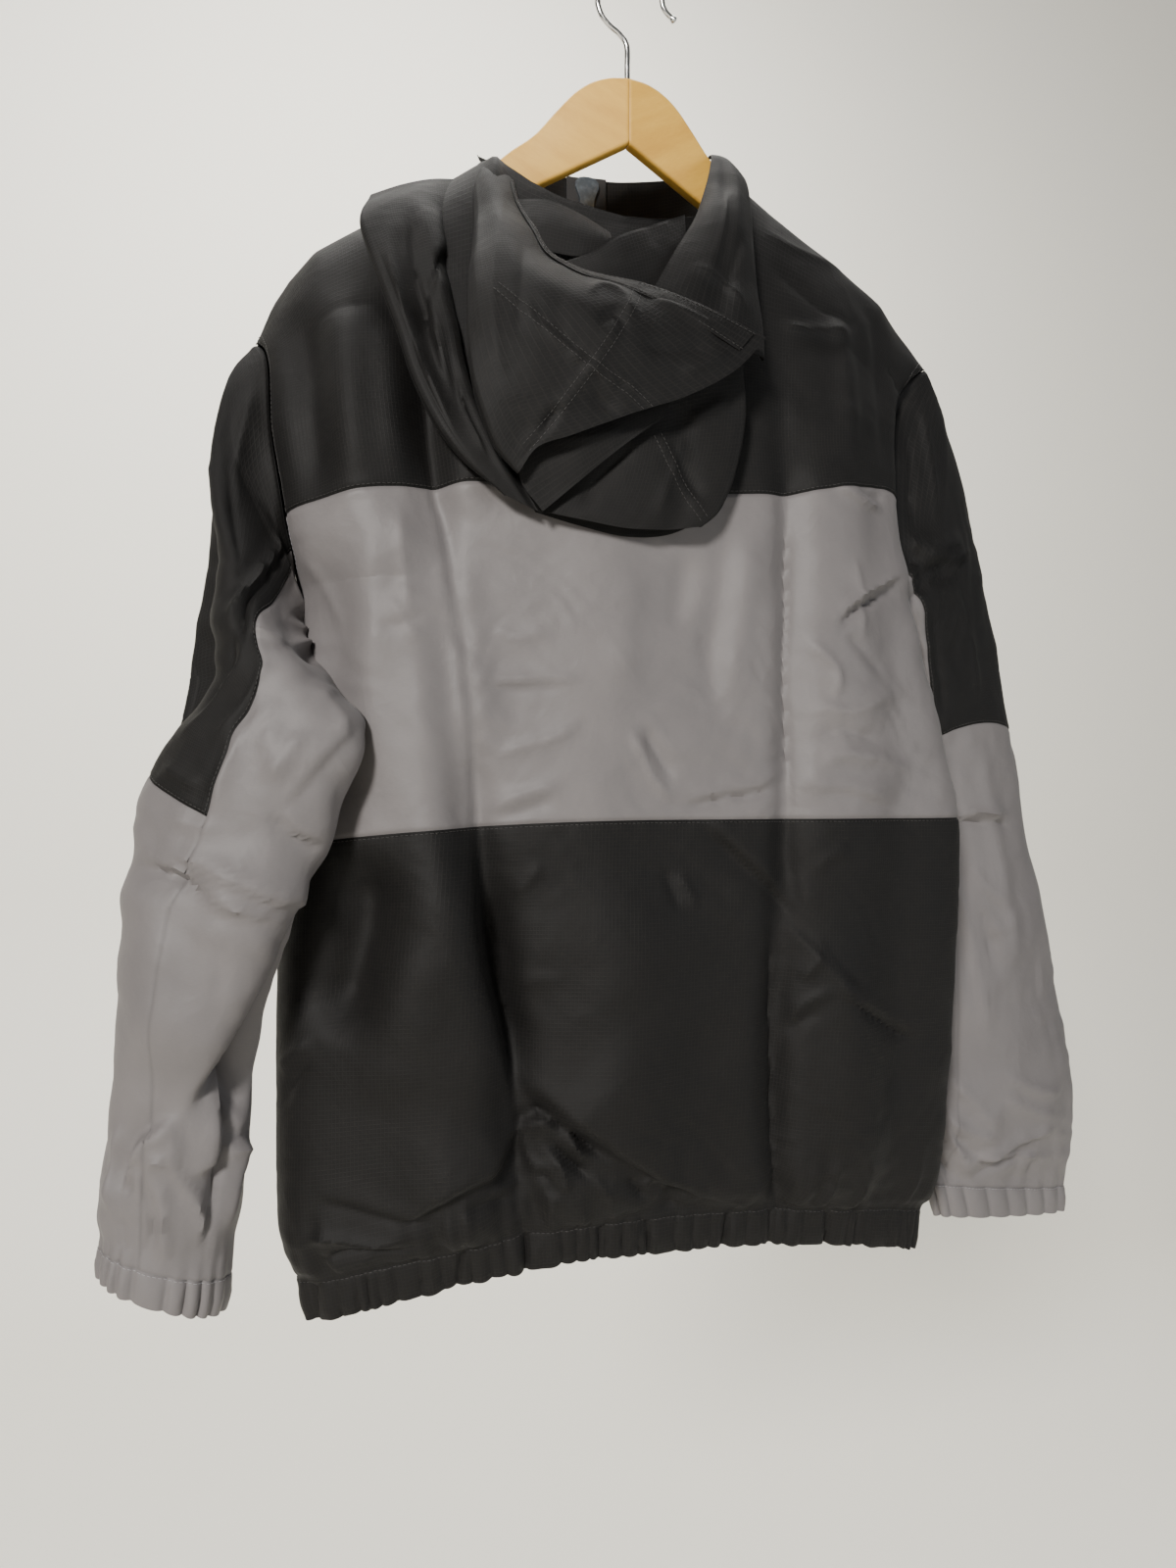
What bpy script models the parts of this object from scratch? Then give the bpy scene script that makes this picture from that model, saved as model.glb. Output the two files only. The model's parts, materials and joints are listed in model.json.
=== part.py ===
"""Hooded windbreaker jacket, hanging on a wooden hanger.

Every piece of cloth is a closed wall. Its outer face is worked out from short tables of
sections, edges and folds, and its inner face lies one cloth thickness behind.
The origin is the inner top of the hanger's hook, +Z is up, +Y is the side of the zip.
Tables are in millimetres; meshes are in metres.
"""
import math

import bmesh
import bpy
import numpy as np

MM = 0.001

# ---- driving dimensions, millimetres ----
CLOTH = 1.6             # wall of the body, sleeves and hood
TAPE = 1.0              # wall of the zip tape and of the rim casing
SEAM_TRIM = 0.2         # each piece stops this far short of a seam line
SLEEVE_START = 0.6      # distance from the armhole's edge to the first ring of the sleeve
ARMHOLE_ROUND = 48      # how fast the armhole opens above the underarm
CURL_LEAST = 2.2        # radius of a rolled border at its ends, more than the cloth
RIM_AIR = 1.8           # air under the casing on the rounded flap
FRONT_LEAN = 0.25       # how far a sleeve's front half leans away from the body
SECTION_POWER = 0.77    # below 1 gives a body section that is flat in front, round at the sides
DROOP_POWER = 2.2       # how late a level starts to droop towards the side seams
ZIP_CHANNEL = 6.5       # half width of the opening between the two fronts
ZIP_STRIP = 21.0        # the cloth beside the zip is flat this far from its centre line
TAPE_INNER = 1.8        # from the zip's centre line to the edge of a tape
TAPE_OUTER = 15.0
TAPE_AIR = 1.0          # between a front and the tape behind it
CASING_GATHERS = 58     # tucks all round the elastic hem
CUFF_GATHERS = 15       # tucks round an elastic cuff
ARM_SWEEP = 0.176       # the hanger's arms curve forward by this much of their length
ARM_THICK = 11.0
WIRE_RADIUS = 1.9
HOOK_RADIUS = 23.0      # to the middle of the wire

CHARCOAL = (0.035, 0.033, 0.032)
GREY = (0.30, 0.28, 0.285)
TAPE_BLACK = (0.015, 0.015, 0.016)
BIRCH = (0.72, 0.52, 0.29)
STEEL = (0.62, 0.61, 0.60)
SLIDER_BLUE = (0.16, 0.20, 0.26)


def table(columns, rows):
    """Name the columns of a small table of numbers."""
    data = np.array(rows, dtype=float)
    return {name: data[:, i] for i, name in enumerate(columns.split())}


# ---- the body: one row for each level, from the hem up ----
SECTION_COLUMNS = "z_mid z_left z_right x_left x_right y_left y_right y_face"
BODY_LOWER = [  # level            mid   left  right  left  right  left right (back, front)
    ((-856, -890, -881, -212, 204, 0, -20), (-47, 40)),    # bottom of the hem casing
    ((-832, -865, -854, -217, 208, 0, -20), (-52, 44)),    # top of the hem casing
    ((-806, -837, -826, -229, 222, 3, -20), (-64, 56)),    # cloth blousing over the elastic
    ((-742, -760, -752, -231, 230, 8, -20), (-66, 60)),
    ((-660, -672, -664, -230, 236, 13, -20), (-67, 62)),
    ((-579, -594, -580, -225, 237, 15, -20), (-66, 62)),   # lower cross seam
    ((-505, -516, -508, -219, 222, 18, -16), (-65, 60)),
    ((-428, -434, -426, -217, 204, 20, -8), (-62, 58)),    # underarm
]
BACK_UPPER = [
    (-369, -388, -384, -225, 199, 0, -4, -58),             # upper cross seam
    (-300, -335, -328, -233, 199, 5, 2, -50),
    (-236, -288, -281, -236, 214, 14, 20, -36),
    (-186, -270, -257, -243, 249, 27, 10, -28),            # shoulder and neck, behind the ridge
]
FRONT_UPPER = [
    (-372, -388, -384, -229, 211, 40, 34, 66),
    (-310, -335, -328, -236, 224, 50, 50, 74),
    (-245, -292, -278, -241, 240, 48, 52, 79),
    (-186, -270, -255, -243, 249, 44, 68, 78),
]
HEM, CASING_TOP, LOWER_SEAM, UNDERARM, UPPER_SEAM, HIGH, TOP = 0, 1, 5, 7, 8, 10, 11
BANDS = {       # the levels at which each band of cloth has a row of its mesh
    "lower": (1, 1.5, 2, 2.6, 3.2, 3.8, 4.4, 5), "middle": (5, 5.5, 6, 6.5, 7, 7.2, 7.55, 8),
    "yoke": (8, 8.6, 9.2, 9.8, 10.3, 10.7, 11),
}
SHOULDER_X = (-243, -238, -228, -206, -186, -168, -149, -130, -112, -95, -90, -83, -70, -52, -30, -9, 10,
              30, 52, 70, 83, 90, 95, 112, 132, 153, 178, 198, 211, 230, 243, 249)   # mesh columns at the top
ARM_ROUND = (3.0, 10.0)     # how far the cloth stands off behind and above the hanger's arm
BODY = {
    "back": table(SECTION_COLUMNS, [a + (b[0],) for a, b in BODY_LOWER] + BACK_UPPER),
    "front": table(SECTION_COLUMNS, [a + (b[1],) for a, b in BODY_LOWER] + FRONT_UPPER),
}
RIDGE = table("x y_back z_back y_front z_front", [          # shoulder line and neck
    (-243, 33, -270, 33, -270), (-233, 37, -243, 37, -243), (-222, 38, -224, 38, -224),
    (-206, 36, -206, 36, -206), (-168, 30, -184, 30, -184), (-130, 23, -161, 23, -161),
    (-95, 17, -138, 17, -138), (-90, 4, -140, 25, -140), (-83, 1, -147, 34, -146),
    (-70, -9, -160, 50, -158),
    (-52, -19, -173, 64, -171), (-28, -27, -182, 76, -183), (-9, -31, -187, 77.5, -186),
    (12, -30, -186, 76.5, -185), (30, -27, -181, 74, -181.5), (52, -19, -172, 63, -170),
    (70, -9, -159, 50, -157), (83, 1, -146, 34, -145), (90, 4, -139, 25, -139), (95, 17, -137, 17, -137),
    (112, 20, -147, 20, -147), (153, 27, -168, 27, -168), (178, 31, -181, 31, -181),
    (211, 37, -199, 37, -199), (233, 39, -221, 39, -221), (249, 38, -240, 38, -240)])
ZIP_X = table("level x", [(HEM, -4), (LOWER_SEAM, -5), (UNDERARM, -6), (TOP, -9)])

# ---- large folds of the back and the front: x at four levels, and their size ----
FOLD_LEVELS = (CASING_TOP, 3, LOWER_SEAM, UPPER_SEAM)
FOLD_COLUMNS = "x_hem x_low x_seam x_yoke depth width lift lift_at"
BACK_FOLDS = table(FOLD_COLUMNS, [
    (-82, -92, -116, -141, 11, 13, 9, -42),     # long valley, with a bulge on its left
    (89, 80, 92, 97, 8, 12, 5, 40),             # pressed crease, with a bulge on its right
    (22, 30, 20, 30, 2, 40, 4, -60),
    (175, 172, 180, 172, 4, 20, 0, 0),
])
FRONT_FOLDS = table(FOLD_COLUMNS, [
    (-120, -112, -104, -120, 9, 16, 6, -40),
    (86, 96, 104, 112, 8, 15, 6, 42),
    (-85, -82, -78, -80, 3, 20, 0, 0),
    (168, 170, 172, 168, 4, 20, 0, 0),
])

# ---- sleeves: one row for each ring; the outer end, the inner end and the two bulges ----
RING_COLUMNS = "x_out y_out z_out x_in y_in z_in back front"
SLEEVE_LEFT = table(RING_COLUMNS, [
    (-257, 30, -292, -226, 16, -448, 26, 24),
    (-266, 22, -338, -229, 6, -466, 32, 26),
    (-272, 14, -388, -225, -9, -485, 37, 26),
    (-281, 4, -450, -210, -31, -503, 38, 24),
    (-291, -5, -512, -188, -56, -522, 37, 24),
    (-299, -12, -552, -182, -68, -548, 34, 24),
    (-305, -16, -598, -193, -64, -588, 33, 25),
    (-311, -17, -648, -215, -50, -640, 33, 28),
    (-318, -16, -692, -234, -36, -684, 33, 32),
    (-325, -14, -742, -243, -26, -738, 33, 34),
    (-331, -12, -788, -248, -22, -796, 33, 34),
    (-330, -12, -829, -258, -21, -851, 27, 27),
    (-331, -12, -847, -262, -21, -873, 26, 26),
])
SLEEVE_RIGHT = table(RING_COLUMNS, [
    (262, 43, -264, 217, -3, -441, 14, 32),
    (278, 49, -304, 225, 3, -461, 16, 34),
    (293, 53, -350, 232, 9, -484, 16, 36),
    (306, 56, -396, 237, 14, -509, 16, 38),
    (321, 57, -458, 240, 19, -543, 17, 38),
    (334, 58, -518, 247, 20, -580, 18, 38),
    (343, 58, -584, 250, 22, -625, 20, 38),
    (356, 57, -632, 251, 22, -668, 22, 38),
    (369, 57, -690, 250, 20, -718, 22, 36),
    (381, 57, -752, 248, 18, -770, 22, 34),
    (391, 57, -806, 245, 16, -815, 22, 30),
    (388, 58, -850, 238, 14, -838, 18, 22),
    (384, 58, -880, 240, 14, -852, 13, 15),
    (383, 58, -900, 246, 14, -877, 13, 15),
])
SLEEVES = {"left": (-1, SLEEVE_LEFT), "right": (1, SLEEVE_RIGHT)}
# The under sleeve's two long seams, in degrees round the ring (0 outer end, 180 inner end),
# and where the top sleeve's dark cloth ends along the arm.
SLEEVE_SEAMS = {
    "left": table("ring back front", [(0, 138.6, 221.4), (2.5, 122, 238), (4, 88, 275),
                                      (6, 74, 290), (11, 74, 290), (14, 74, 290)]),
    "right": table("ring back front", [(0, 138.6, 221.4), (1.5, 150, 218), (3, 152, 228),
                                       (5, 150, 235), (11, 150, 240), (14, 150, 240)]),
}
TOP_SLEEVE_END = {"left": (5.95, 0.75), "right": (5.95, -0.25)}   # ring, and rise to the inside

# ---- hood: four edges for each sheet, x y z from left to right or from top to bottom ----
HOOD_SHEETS = {
    "hood_under": {
        "top": [(-62, -21, -173), (-30, -33, -191), (0, -38, -195), (30, -33, -190), (64, -20, -171)],
        "bottom": [(-78, -65, -391), (-50, -66, -398), (-19, -66, -403), (8, -66, -400),
                   (24, -66, -393)],
        "left": [(-84, -38, -225), (-112, -54, -290), (-104, -63, -350)],
        "right": [(70, -34, -225), (58, -54, -290), (38, -63, -350)],
        "bulge": 0.0, "curl": {},
    },
    "hood_pouch": {
        "top": [(-52, -69, -338), (-20, -71, -318), (15, -71, -298), (54, -69, -286)],
        "bottom": [(-73, -71, -392), (-50, -74, -396), (-22, -76, -400), (4, -76, -399),
                   (25, -74, -396)],
        "left": [(-60, -69, -365)],
        "right": [(56, -69, -325), (51, -70, -351), (44, -72, -371), (34, -74, -388)],
        "bulge": 3.0, "curl": {"right": 3.2},
    },
    "hood_gusset": {
        "top": [(-86, -77, -352), (-55, -80, -338), (-22, -80, -324), (4, -77, -314)],
        "bottom": [(-76, -76, -393), (-54, -80, -374), (-28, -82, -352), (0, -80, -331)],
        "left": [(-90, -76, -373)],
        "right": [(3, -79, -322)],
        "bulge": 1.0, "curl": {},
    },
    "hood_flap": {
        "top": [(-120, 12, -145), (-108, 15, -138), (-93, 17, -134)],
        "bottom": [(-92, -86, -372), (-83, -89, -359), (-63, -93, -351), (-27, -95, -336),
                   (11, -93, -321), (47, -87, -298), (67, -80, -276)],
        "left": [(-120, -20, -158), (-116, -42, -184), (-120, -60, -224), (-125, -74, -260),
                 (-126, -82, -287), (-125, -87, -311), (-121, -88, -333), (-107, -87, -360)],
        "right": [(-91, 1, -137), (-88, -16, -162), (-84, -34, -189), (-66, -54, -222),
                  (-53, -64, -241), (-5, -76, -246), (32, -81, -262)],
        "bulge": 13.0, "curl": {"left": 6.0},
    },
    "hood_right": {
        "top": [(69, 13, -118.5), (78, 15, -116), (88, 14, -122)],
        "bottom": [(-8, -68, -256), (22, -72, -268), (46, -73, -278), (70, -68, -284)],
        "left": [(68, 2, -121), (58, -12, -138), (44, -28, -165), (34, -42, -186), (14, -57, -218)],
        "right": [(90, -14, -142), (86, -28, -168), (82, -40, -200), (79, -50, -232),
                  (76, -60, -260)],
        "bulge": 8.0, "curl": {"right": 5.0},
    },
    "hood_drape": {
        "top": [(-176, 12, -174), (-160, 14, -157), (-146, 14, -151), (-127, 12, -147)],
        "bottom": [(-97, -72, -384), (-88, -73, -388), (-78, -74, -392)],
        "left": [(-177, -12, -198), (-170, -27, -226), (-163, -39, -251), (-154, -48, -281),
                 (-148, -54, -304), (-139, -62, -328), (-129, -68, -348), (-116, -71, -366)],
        "right": [(-124, -30, -186), (-118, -50, -230), (-112, -64, -280), (-104, -70, -330),
                  (-90, -74, -368)],
        "bulge": 5.0, "curl": {"left": 5.0},
    },
    "hood_inner_left": {
        "top": [(-80, -22, -180), (-62, -30, -182), (-44, -35, -190), (-24, -42, -204)],
        "bottom": [(-88, -36, -216), (-66, -45, -222), (-46, -48, -224), (-26, -48, -216)],
        "left": [(-85, -29, -198)],
        "right": [(-24, -46, -210)],
        "bulge": 3.0, "curl": {},
    },
    "hood_inner_right": {
        "top": [(-62, -53, -233), (-40, -56, -224), (-22, -54, -211), (0, -47, -199), (28, -38, -184)],
        "bottom": [(-46, -62, -248), (-28, -62, -250), (-10, -60, -248), (8, -56, -240), (20, -51, -226)],
        "left": [(-56, -58, -241)],
        "right": [(26, -45, -205)],
        "bulge": 2.0, "curl": {},
    },
}
HOOD_FOLDS = {   # in fractions of the sheet: from (u, v) to (u, v), depth, width
    "hood_drape": [((0.55, 0.02), (0.72, 0.62), 15, 0.17), ((0.28, 0.0), (0.45, 0.5), -4, 0.12),
                   ((0.85, 0.1), (0.80, 0.8), -5, 0.10)],
    "hood_flap": [((0.25, 0.25), (0.35, 0.95), 4, 0.14), ((0.15, 0.35), (0.12, 0.8), -3, 0.09),
                  ((0.62, 0.72), (0.98, 0.84), -4, 0.12)],
    "hood_right": [((0.35, 0.1), (0.55, 0.9), 4, 0.15)],
    "hood_pouch": [((0.55, 0.1), (0.80, 0.95), 3, 0.10)],
}
COLLAR = {
    "left": {
        "bottom": [(-15.5, 77, -184.8), (-28, 76.5, -182.4), (-45, 69, -173.5), (-70, 51, -156.5),
                   (-84, 36, -145), (-95, 24, -136)],
        "top": [(-15.5, 77, -110), (-30, 76.4, -110), (-50, 69, -111), (-80, 51, -121), (-99, 27, -130)]},
    "right": {
        "bottom": [(-2.5, 77, -184.8), (14, 76.8, -183.2), (28, 75, -180.5), (45, 68.5, -172.5),
                   (70, 51, -155.5), (84, 36, -144), (95, 24, -135)],
        "top": [(-2.5, 77, -109), (13, 76.8, -108.6), (26, 75, -108), (45, 70, -107),
                (78, 50, -113), (98, 26, -124)]},
}

# ---- zip slider and pull tab ----
SLIDER_X, SLIDER_TOP = -9.0, -110.0
SLIDER_OUTLINE = table("x z", [(-5.2, -21.5), (5.2, -21.5), (5.6, -16), (7.2, -11.5), (8.9, -7.5),
                               (8.6, -3.4), (6.0, -0.9), (2.5, 0), (-2.5, 0), (-6.0, -0.9),
                               (-8.6, -3.4), (-8.9, -7.5), (-7.2, -11.5), (-5.6, -16)])
HINGE_BELOW_TOP = 8.0   # the pull tab's axis, below the top of the slider
TAB_LENGTH, TAB_WIDTH, TAB_THICK = 24.0, 6.4, 1.2

# ---- hanger ----
ARM = table("x top bottom", [(0, -79, -124), (15, -80, -131.8), (26, -84, -137.5), (36, -91, -142.7),
                             (48, -104, -149), (62, -120, -156.2), (78, -132, -164.6),
                             (94, -145.5, -173.5), (130, -170, -192.6), (168, -194, -212.4),
                             (196, -210, -226), (208, -219, -231), (213, -225, -230)])
HOOK_SHANK = [(0, -78.6), (0, -68), (0, -58), (-1.5, -52.5), (-6, -47.5), (-12, -43.5),
              (-17.5, -38), (-20.5, -31)]
HOOK_CENTRE = (2.0, -24.9 + 1.9)


def tangents(values, keys):
    """The slope of a smooth curve at each row of a column."""
    step = np.diff(keys)
    slope = (np.diff(values, axis=0).T / step).T
    tangent = np.empty_like(values)
    tangent[0], tangent[-1] = slope[0], slope[-1]
    before, after = step[:-1], step[1:]
    tangent[1:-1] = ((slope[:-1].T * after + slope[1:].T * before) / (before + after)).T
    return tangent


def along(values, t, keys=None, slopes=None):
    """Read a column of a table at t with a smooth curve through its rows."""
    values = np.asarray(values, dtype=float)
    keys = np.arange(len(values), dtype=float) if keys is None else np.asarray(keys, dtype=float)
    leave, arrive = slopes if slopes else (tangents(values, keys),) * 2
    t = np.clip(np.asarray(t, dtype=float), keys[0], keys[-1])
    step = np.diff(keys)
    i = np.clip(np.searchsorted(keys, t, side="right") - 1, 0, len(step) - 1)
    u = (t - keys[i]) / step[i]
    width = step[i]
    if values.ndim > 1:
        u, width = u[..., None], width[..., None]
    rise = u * u * (3 - 2 * u)
    return (values[i] * (1 - rise) + values[i + 1] * rise
            + width * (u * (1 - u) ** 2 * leave[i] - u * u * (1 - u) * arrive[i + 1]))


def body_slopes():
    """How the body's columns leave and reach each level. The back's and the front's side edges
    reach the underarm alike, and leave it to both sides, so that the armhole is round below."""
    slopes = {side: {name: tangents(rows[name], np.arange(len(rows[name]), dtype=float))
                     for name in rows} for side, rows in BODY.items()}
    result = {"back": {}, "front": {}}
    for name in BODY["back"]:
        shared = (slopes["back"][name][UNDERARM] + slopes["front"][name][UNDERARM]) / 2
        for side, sign in (("back", -1), ("front", 1)):
            leave = slopes[side][name].copy()
            arrive = leave.copy()
            if name != "y_face":
                leave[UNDERARM] = arrive[UNDERARM] = shared
            if name in ("y_left", "y_right"):
                rise = BODY[side][name][UNDERARM + 1] - BODY[side][name][UNDERARM]
                leave[UNDERARM] = rise * 1.3 + sign * ARMHOLE_ROUND
            result[side][name] = (leave, arrive)
    return result


def smooth_step(t):
    """0 to 1 with level ends."""
    t = np.clip(t, 0, 1)
    return t * t * (3 - 2 * t)


BODY_SLOPES = body_slopes()


def power(value, exponent):
    """A power that keeps the sign."""
    return np.sign(value) * np.abs(value) ** exponent


def body_base(side, s, v):
    """Body without folds. s runs from the left side seam (-1) to the right one (1), v up the levels."""
    rows = BODY[side]
    read = {name: along(rows[name], v, slopes=BODY_SLOPES[side][name]) for name in rows}
    across = power(np.sin(s * math.pi / 2), SECTION_POWER)
    bulge = power(np.maximum(np.cos(s * math.pi / 2), 0), SECTION_POWER)
    share = (across + 1) / 2
    x = read["x_left"] * (1 - share) + read["x_right"] * share
    y_edge = read["y_left"] * (1 - share) + read["y_right"] * share
    y = y_edge + (read["y_face"] - y_edge) * bulge
    z_edge = np.where(across < 0, read["z_left"], read["z_right"])
    z = read["z_mid"] + (z_edge - read["z_mid"]) * np.abs(across) ** DROOP_POWER
    top = np.clip((v - HIGH + 0.6) / (TOP - HIGH + 0.6), 0, 1) ** 1.8
    x_top = SHOULDER_X[0] * (1 - share) + SHOULDER_X[-1] * share
    y = y * (1 - top) + np.interp(x_top, RIDGE["x"], RIDGE["y_" + side]) * top
    z = z * (1 - top) + np.interp(x_top, RIDGE["x"], RIDGE["z_" + side]) * top
    round_arm = np.sin(math.pi * np.clip((TOP - v) / 1.1, 0, 1)) ** 0.7
    round_arm *= smooth_step((np.abs(x_top) - 80) / 12) * smooth_step((235 - np.abs(x_top)) / 30)
    y = y + (-1 if side == "back" else 1) * ARM_ROUND[0] * round_arm
    z = z + ARM_ROUND[1] * round_arm
    return np.stack([x, y, z], axis=-1)


def fold_push(side, x, v):
    """How far the large folds move the cloth outwards at (x, level)."""
    folds = BACK_FOLDS if side == "back" else FRONT_FOLDS
    push = np.zeros_like(x)
    for i in range(len(folds["depth"])):
        line = [folds[name][i] for name in ("x_hem", "x_low", "x_seam", "x_yoke")]
        away = x - along(line, v, FOLD_LEVELS)
        push -= folds["depth"][i] * np.exp(-(away / folds["width"][i]) ** 2)
        push += folds["lift"][i] * np.exp(-((away - folds["lift_at"][i]) / 30) ** 2)
    fade = smooth_step((v - 0.3) / 0.7) * smooth_step((TOP - 0.6 - v) / 2.4)
    return push * fade * (0.25 + 0.75 * smooth_step((v - CASING_TOP + 0.15) / 0.9))


def body(side, s, v):
    """Body with its folds, and the direction that points out of the cloth."""
    base = body_base(side, s, v)
    out = facing(lambda a, b: body_base(side, a, b), s, v, 0.004, 0.02)
    out *= -1 if side == "front" else 1
    calm = smooth_step((1 - np.abs(s)) / 0.25)
    return base + out * (fold_push(side, base[..., 0], v) * calm)[..., None], out


def facing(surface, u, v, du, dv):
    """Unit vectors across a surface, from small steps to both sides."""
    along_u = surface(u + du, v) - surface(u - du, v)
    along_v = surface(u, v + dv) - surface(u, v - dv)
    across = np.cross(along_u, along_v)
    return across / np.maximum(np.linalg.norm(across, axis=-1, keepdims=True), 1e-9)


def mesh_grid(u_range, v_range, columns, rows):
    """Even steps in u and v; an end of a range may itself be a function of the other one."""
    a, b = np.meshgrid(np.linspace(0, 1, columns), np.linspace(0, 1, rows))
    pick = lambda end, at: end(at) if callable(end) else np.full_like(at, end)
    v_mid = 0.5 * (pick(v_range[0], a * 0) + pick(v_range[1], a * 0))
    v = v_mid
    for _ in range(6):
        u = pick(u_range[0], v) * (1 - a) + pick(u_range[1], v) * a
        v = pick(v_range[0], u) * (1 - b) + pick(v_range[1], u) * b
    return u, v


def trimmed(points, amount=SEAM_TRIM, wrap=False):
    """Pull the border of a sheet back from its seams."""
    points = points.copy()
    for edge, inside in ((0, 1), (-1, -2)):
        for view in (points,) if wrap else (points, points.transpose(1, 0, 2)):
            step = view[inside] - view[edge]
            view[edge] += step / np.maximum(np.linalg.norm(step, axis=-1, keepdims=True), 1e-9) * amount
    return points


def material(name, colour, roughness=0.6, metallic=0.0):
    """A plain finish, made once for each kind of cloth, wood or metal."""
    mat = bpy.data.materials.get(name) or bpy.data.materials.new(name)
    mat.use_nodes = True
    shader = mat.node_tree.nodes["Principled BSDF"]
    shader.inputs["Base Color"].default_value = (*colour, 1)
    shader.inputs["Roughness"].default_value = roughness
    shader.inputs["Metallic"].default_value = metallic
    return mat


def solid(name, points, faces, mat, smooth=True):
    """Make one closed object from points in millimetres."""
    mesh = bpy.data.meshes.new(name)
    mesh.from_pydata([tuple(p) for p in np.asarray(points) * MM], [], faces)
    shape = bmesh.new()
    shape.from_mesh(mesh)
    bmesh.ops.recalc_face_normals(shape, faces=shape.faces)
    shape.to_mesh(mesh)
    shape.free()
    mesh.materials.append(mat)
    if smooth:
        mesh.shade_smooth()
        mesh.set_sharp_from_angle(angle=math.radians(40))
    item = bpy.data.objects.new(name, mesh)
    bpy.context.collection.objects.link(item)
    return item


def wall(name, outer, out, mat, thickness=CLOTH, wrap=False):
    """A closed cloth wall: the outer sheet, the inner sheet behind it, and the cut edges."""
    rows, columns = outer.shape[:2]
    inner = outer - out * thickness
    count = rows * columns
    faces = []
    flat = outer.reshape(-1, 3)
    last = columns if wrap else columns - 1
    for r in range(rows - 1):
        for c in range(last):
            d = (c + 1) % columns
            quad = [r * columns + c, r * columns + d, (r + 1) * columns + d, (r + 1) * columns + c]
            if np.linalg.norm(flat[quad[0]] - flat[quad[2]]) > np.linalg.norm(flat[quad[1]] - flat[quad[3]]):
                quad = quad[1:] + quad[:1]
            for half in ((quad[0], quad[1], quad[2]), (quad[0], quad[2], quad[3])):
                faces.append(half)
                faces.append(tuple(i + count for i in reversed(half)))
    border = [[(r, c) for c in range(columns)] for r in (0, rows - 1)]
    if wrap:
        border = [line + line[:1] for line in border]
    else:
        border += [[(r, c) for r in range(rows)] for c in (0, columns - 1)]
    for line in border:
        for (r0, c0), (r1, c1) in zip(line[:-1], line[1:]):
            a, b = r0 * columns + c0, r1 * columns + c1
            faces.append((a, b, b + count, a + count))
    points = np.concatenate([flat, inner.reshape(-1, 3)])
    return solid(name, points, faces, mat)


# ---- body ----
def mitre(one, two):
    """The direction out of a ridge where two walls of equal thickness meet."""
    share = 1 + np.sum(one * two, axis=-1, keepdims=True)
    return (one + two) / np.maximum(share, 0.75)


def s_at(x, left, right):
    """The s of a place x on a section that runs from left to right."""
    return np.arcsin(power((x - left) / (right - left) * 2 - 1, 1 / SECTION_POWER)) * 2 / math.pi


def zip_s(side_step, v):
    """The s beside the zip, at a distance from its centre line."""
    rows, slopes = BODY["front"], BODY_SLOPES["front"]
    left = along(rows["x_left"], v, slopes=slopes["x_left"])
    right = along(rows["x_right"], v, slopes=slopes["x_right"])
    return s_at(along(ZIP_X["x"], v, ZIP_X["level"]) + side_step, left, right)


def body_columns(part, levels):
    """The s and the level of each point of a panel's mesh."""
    levels = np.asarray(levels, dtype=float)
    shoulder = s_at(np.array(SHOULDER_X, dtype=float), SHOULDER_X[0], SHOULDER_X[-1])
    fixed = lambda s: np.tile(s, (len(levels), 1))
    if part == "back":
        s = fixed(shoulder)
    elif part == "front_left":
        near = [zip_s(-reach, levels)[:, None] for reach in (ZIP_STRIP, ZIP_CHANNEL)]
        s = np.concatenate([fixed(shoulder[np.array(SHOULDER_X) < -45])] + near, axis=1)
    else:
        near = [zip_s(reach, levels)[:, None] for reach in (ZIP_CHANNEL, ZIP_STRIP)]
        s = np.concatenate(near + [fixed(shoulder[np.array(SHOULDER_X) > 25])], axis=1)
    return s, np.tile(levels[:, None], (1, s.shape[1]))


def top_out(side, s, v):
    """The direction out of the last row of a panel's facets."""
    points = body(side, s[-2:], v[-2:])[0]
    out = np.cross(np.gradient(points[1], axis=0), points[1] - points[0])
    out /= np.linalg.norm(out, axis=-1, keepdims=True)
    return out if side == "back" else -out


def body_panel(part, band, mat):
    """One cut piece of the body between two levels."""
    side = part.split("_")[0]
    s, v = body_columns(part, BANDS[band])
    outer, out = body(side, s, v)
    if band == "yoke":
        other = "front" if side == "back" else "back"
        meets = (np.abs(outer[-1, :, 0]) > 94)[:, None]
        own = top_out(side, s, v)
        out[-1] = np.where(meets, mitre(own, top_out(other, s, v)), own)
    return wall(f"{part}_{band}", trimmed(outer), out, mat)


def gather(phase, count, depth):
    """Uneven tucks: outward waves whose size changes round the ring."""
    wave = 0.5 - 0.5 * np.cos(phase * count)
    uneven = 0.65 + 0.35 * np.sin(phase * 3.0 + 1.0) * np.sin(phase * 7.0)
    return depth * wave * uneven


def make_body():
    """Back, fronts and the elastic hem casing."""
    finishes = {"lower": material("charcoal_ripstop", CHARCOAL, 0.62),
                "middle": material("grey_taffeta", GREY, 0.5),
                "yoke": material("charcoal_ripstop", CHARCOAL, 0.62)}
    for band, mat in finishes.items():
        for part in ("back", "front_left", "front_right"):
            body_panel(part, band, mat)
    hem_casing(finishes["lower"])


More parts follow.
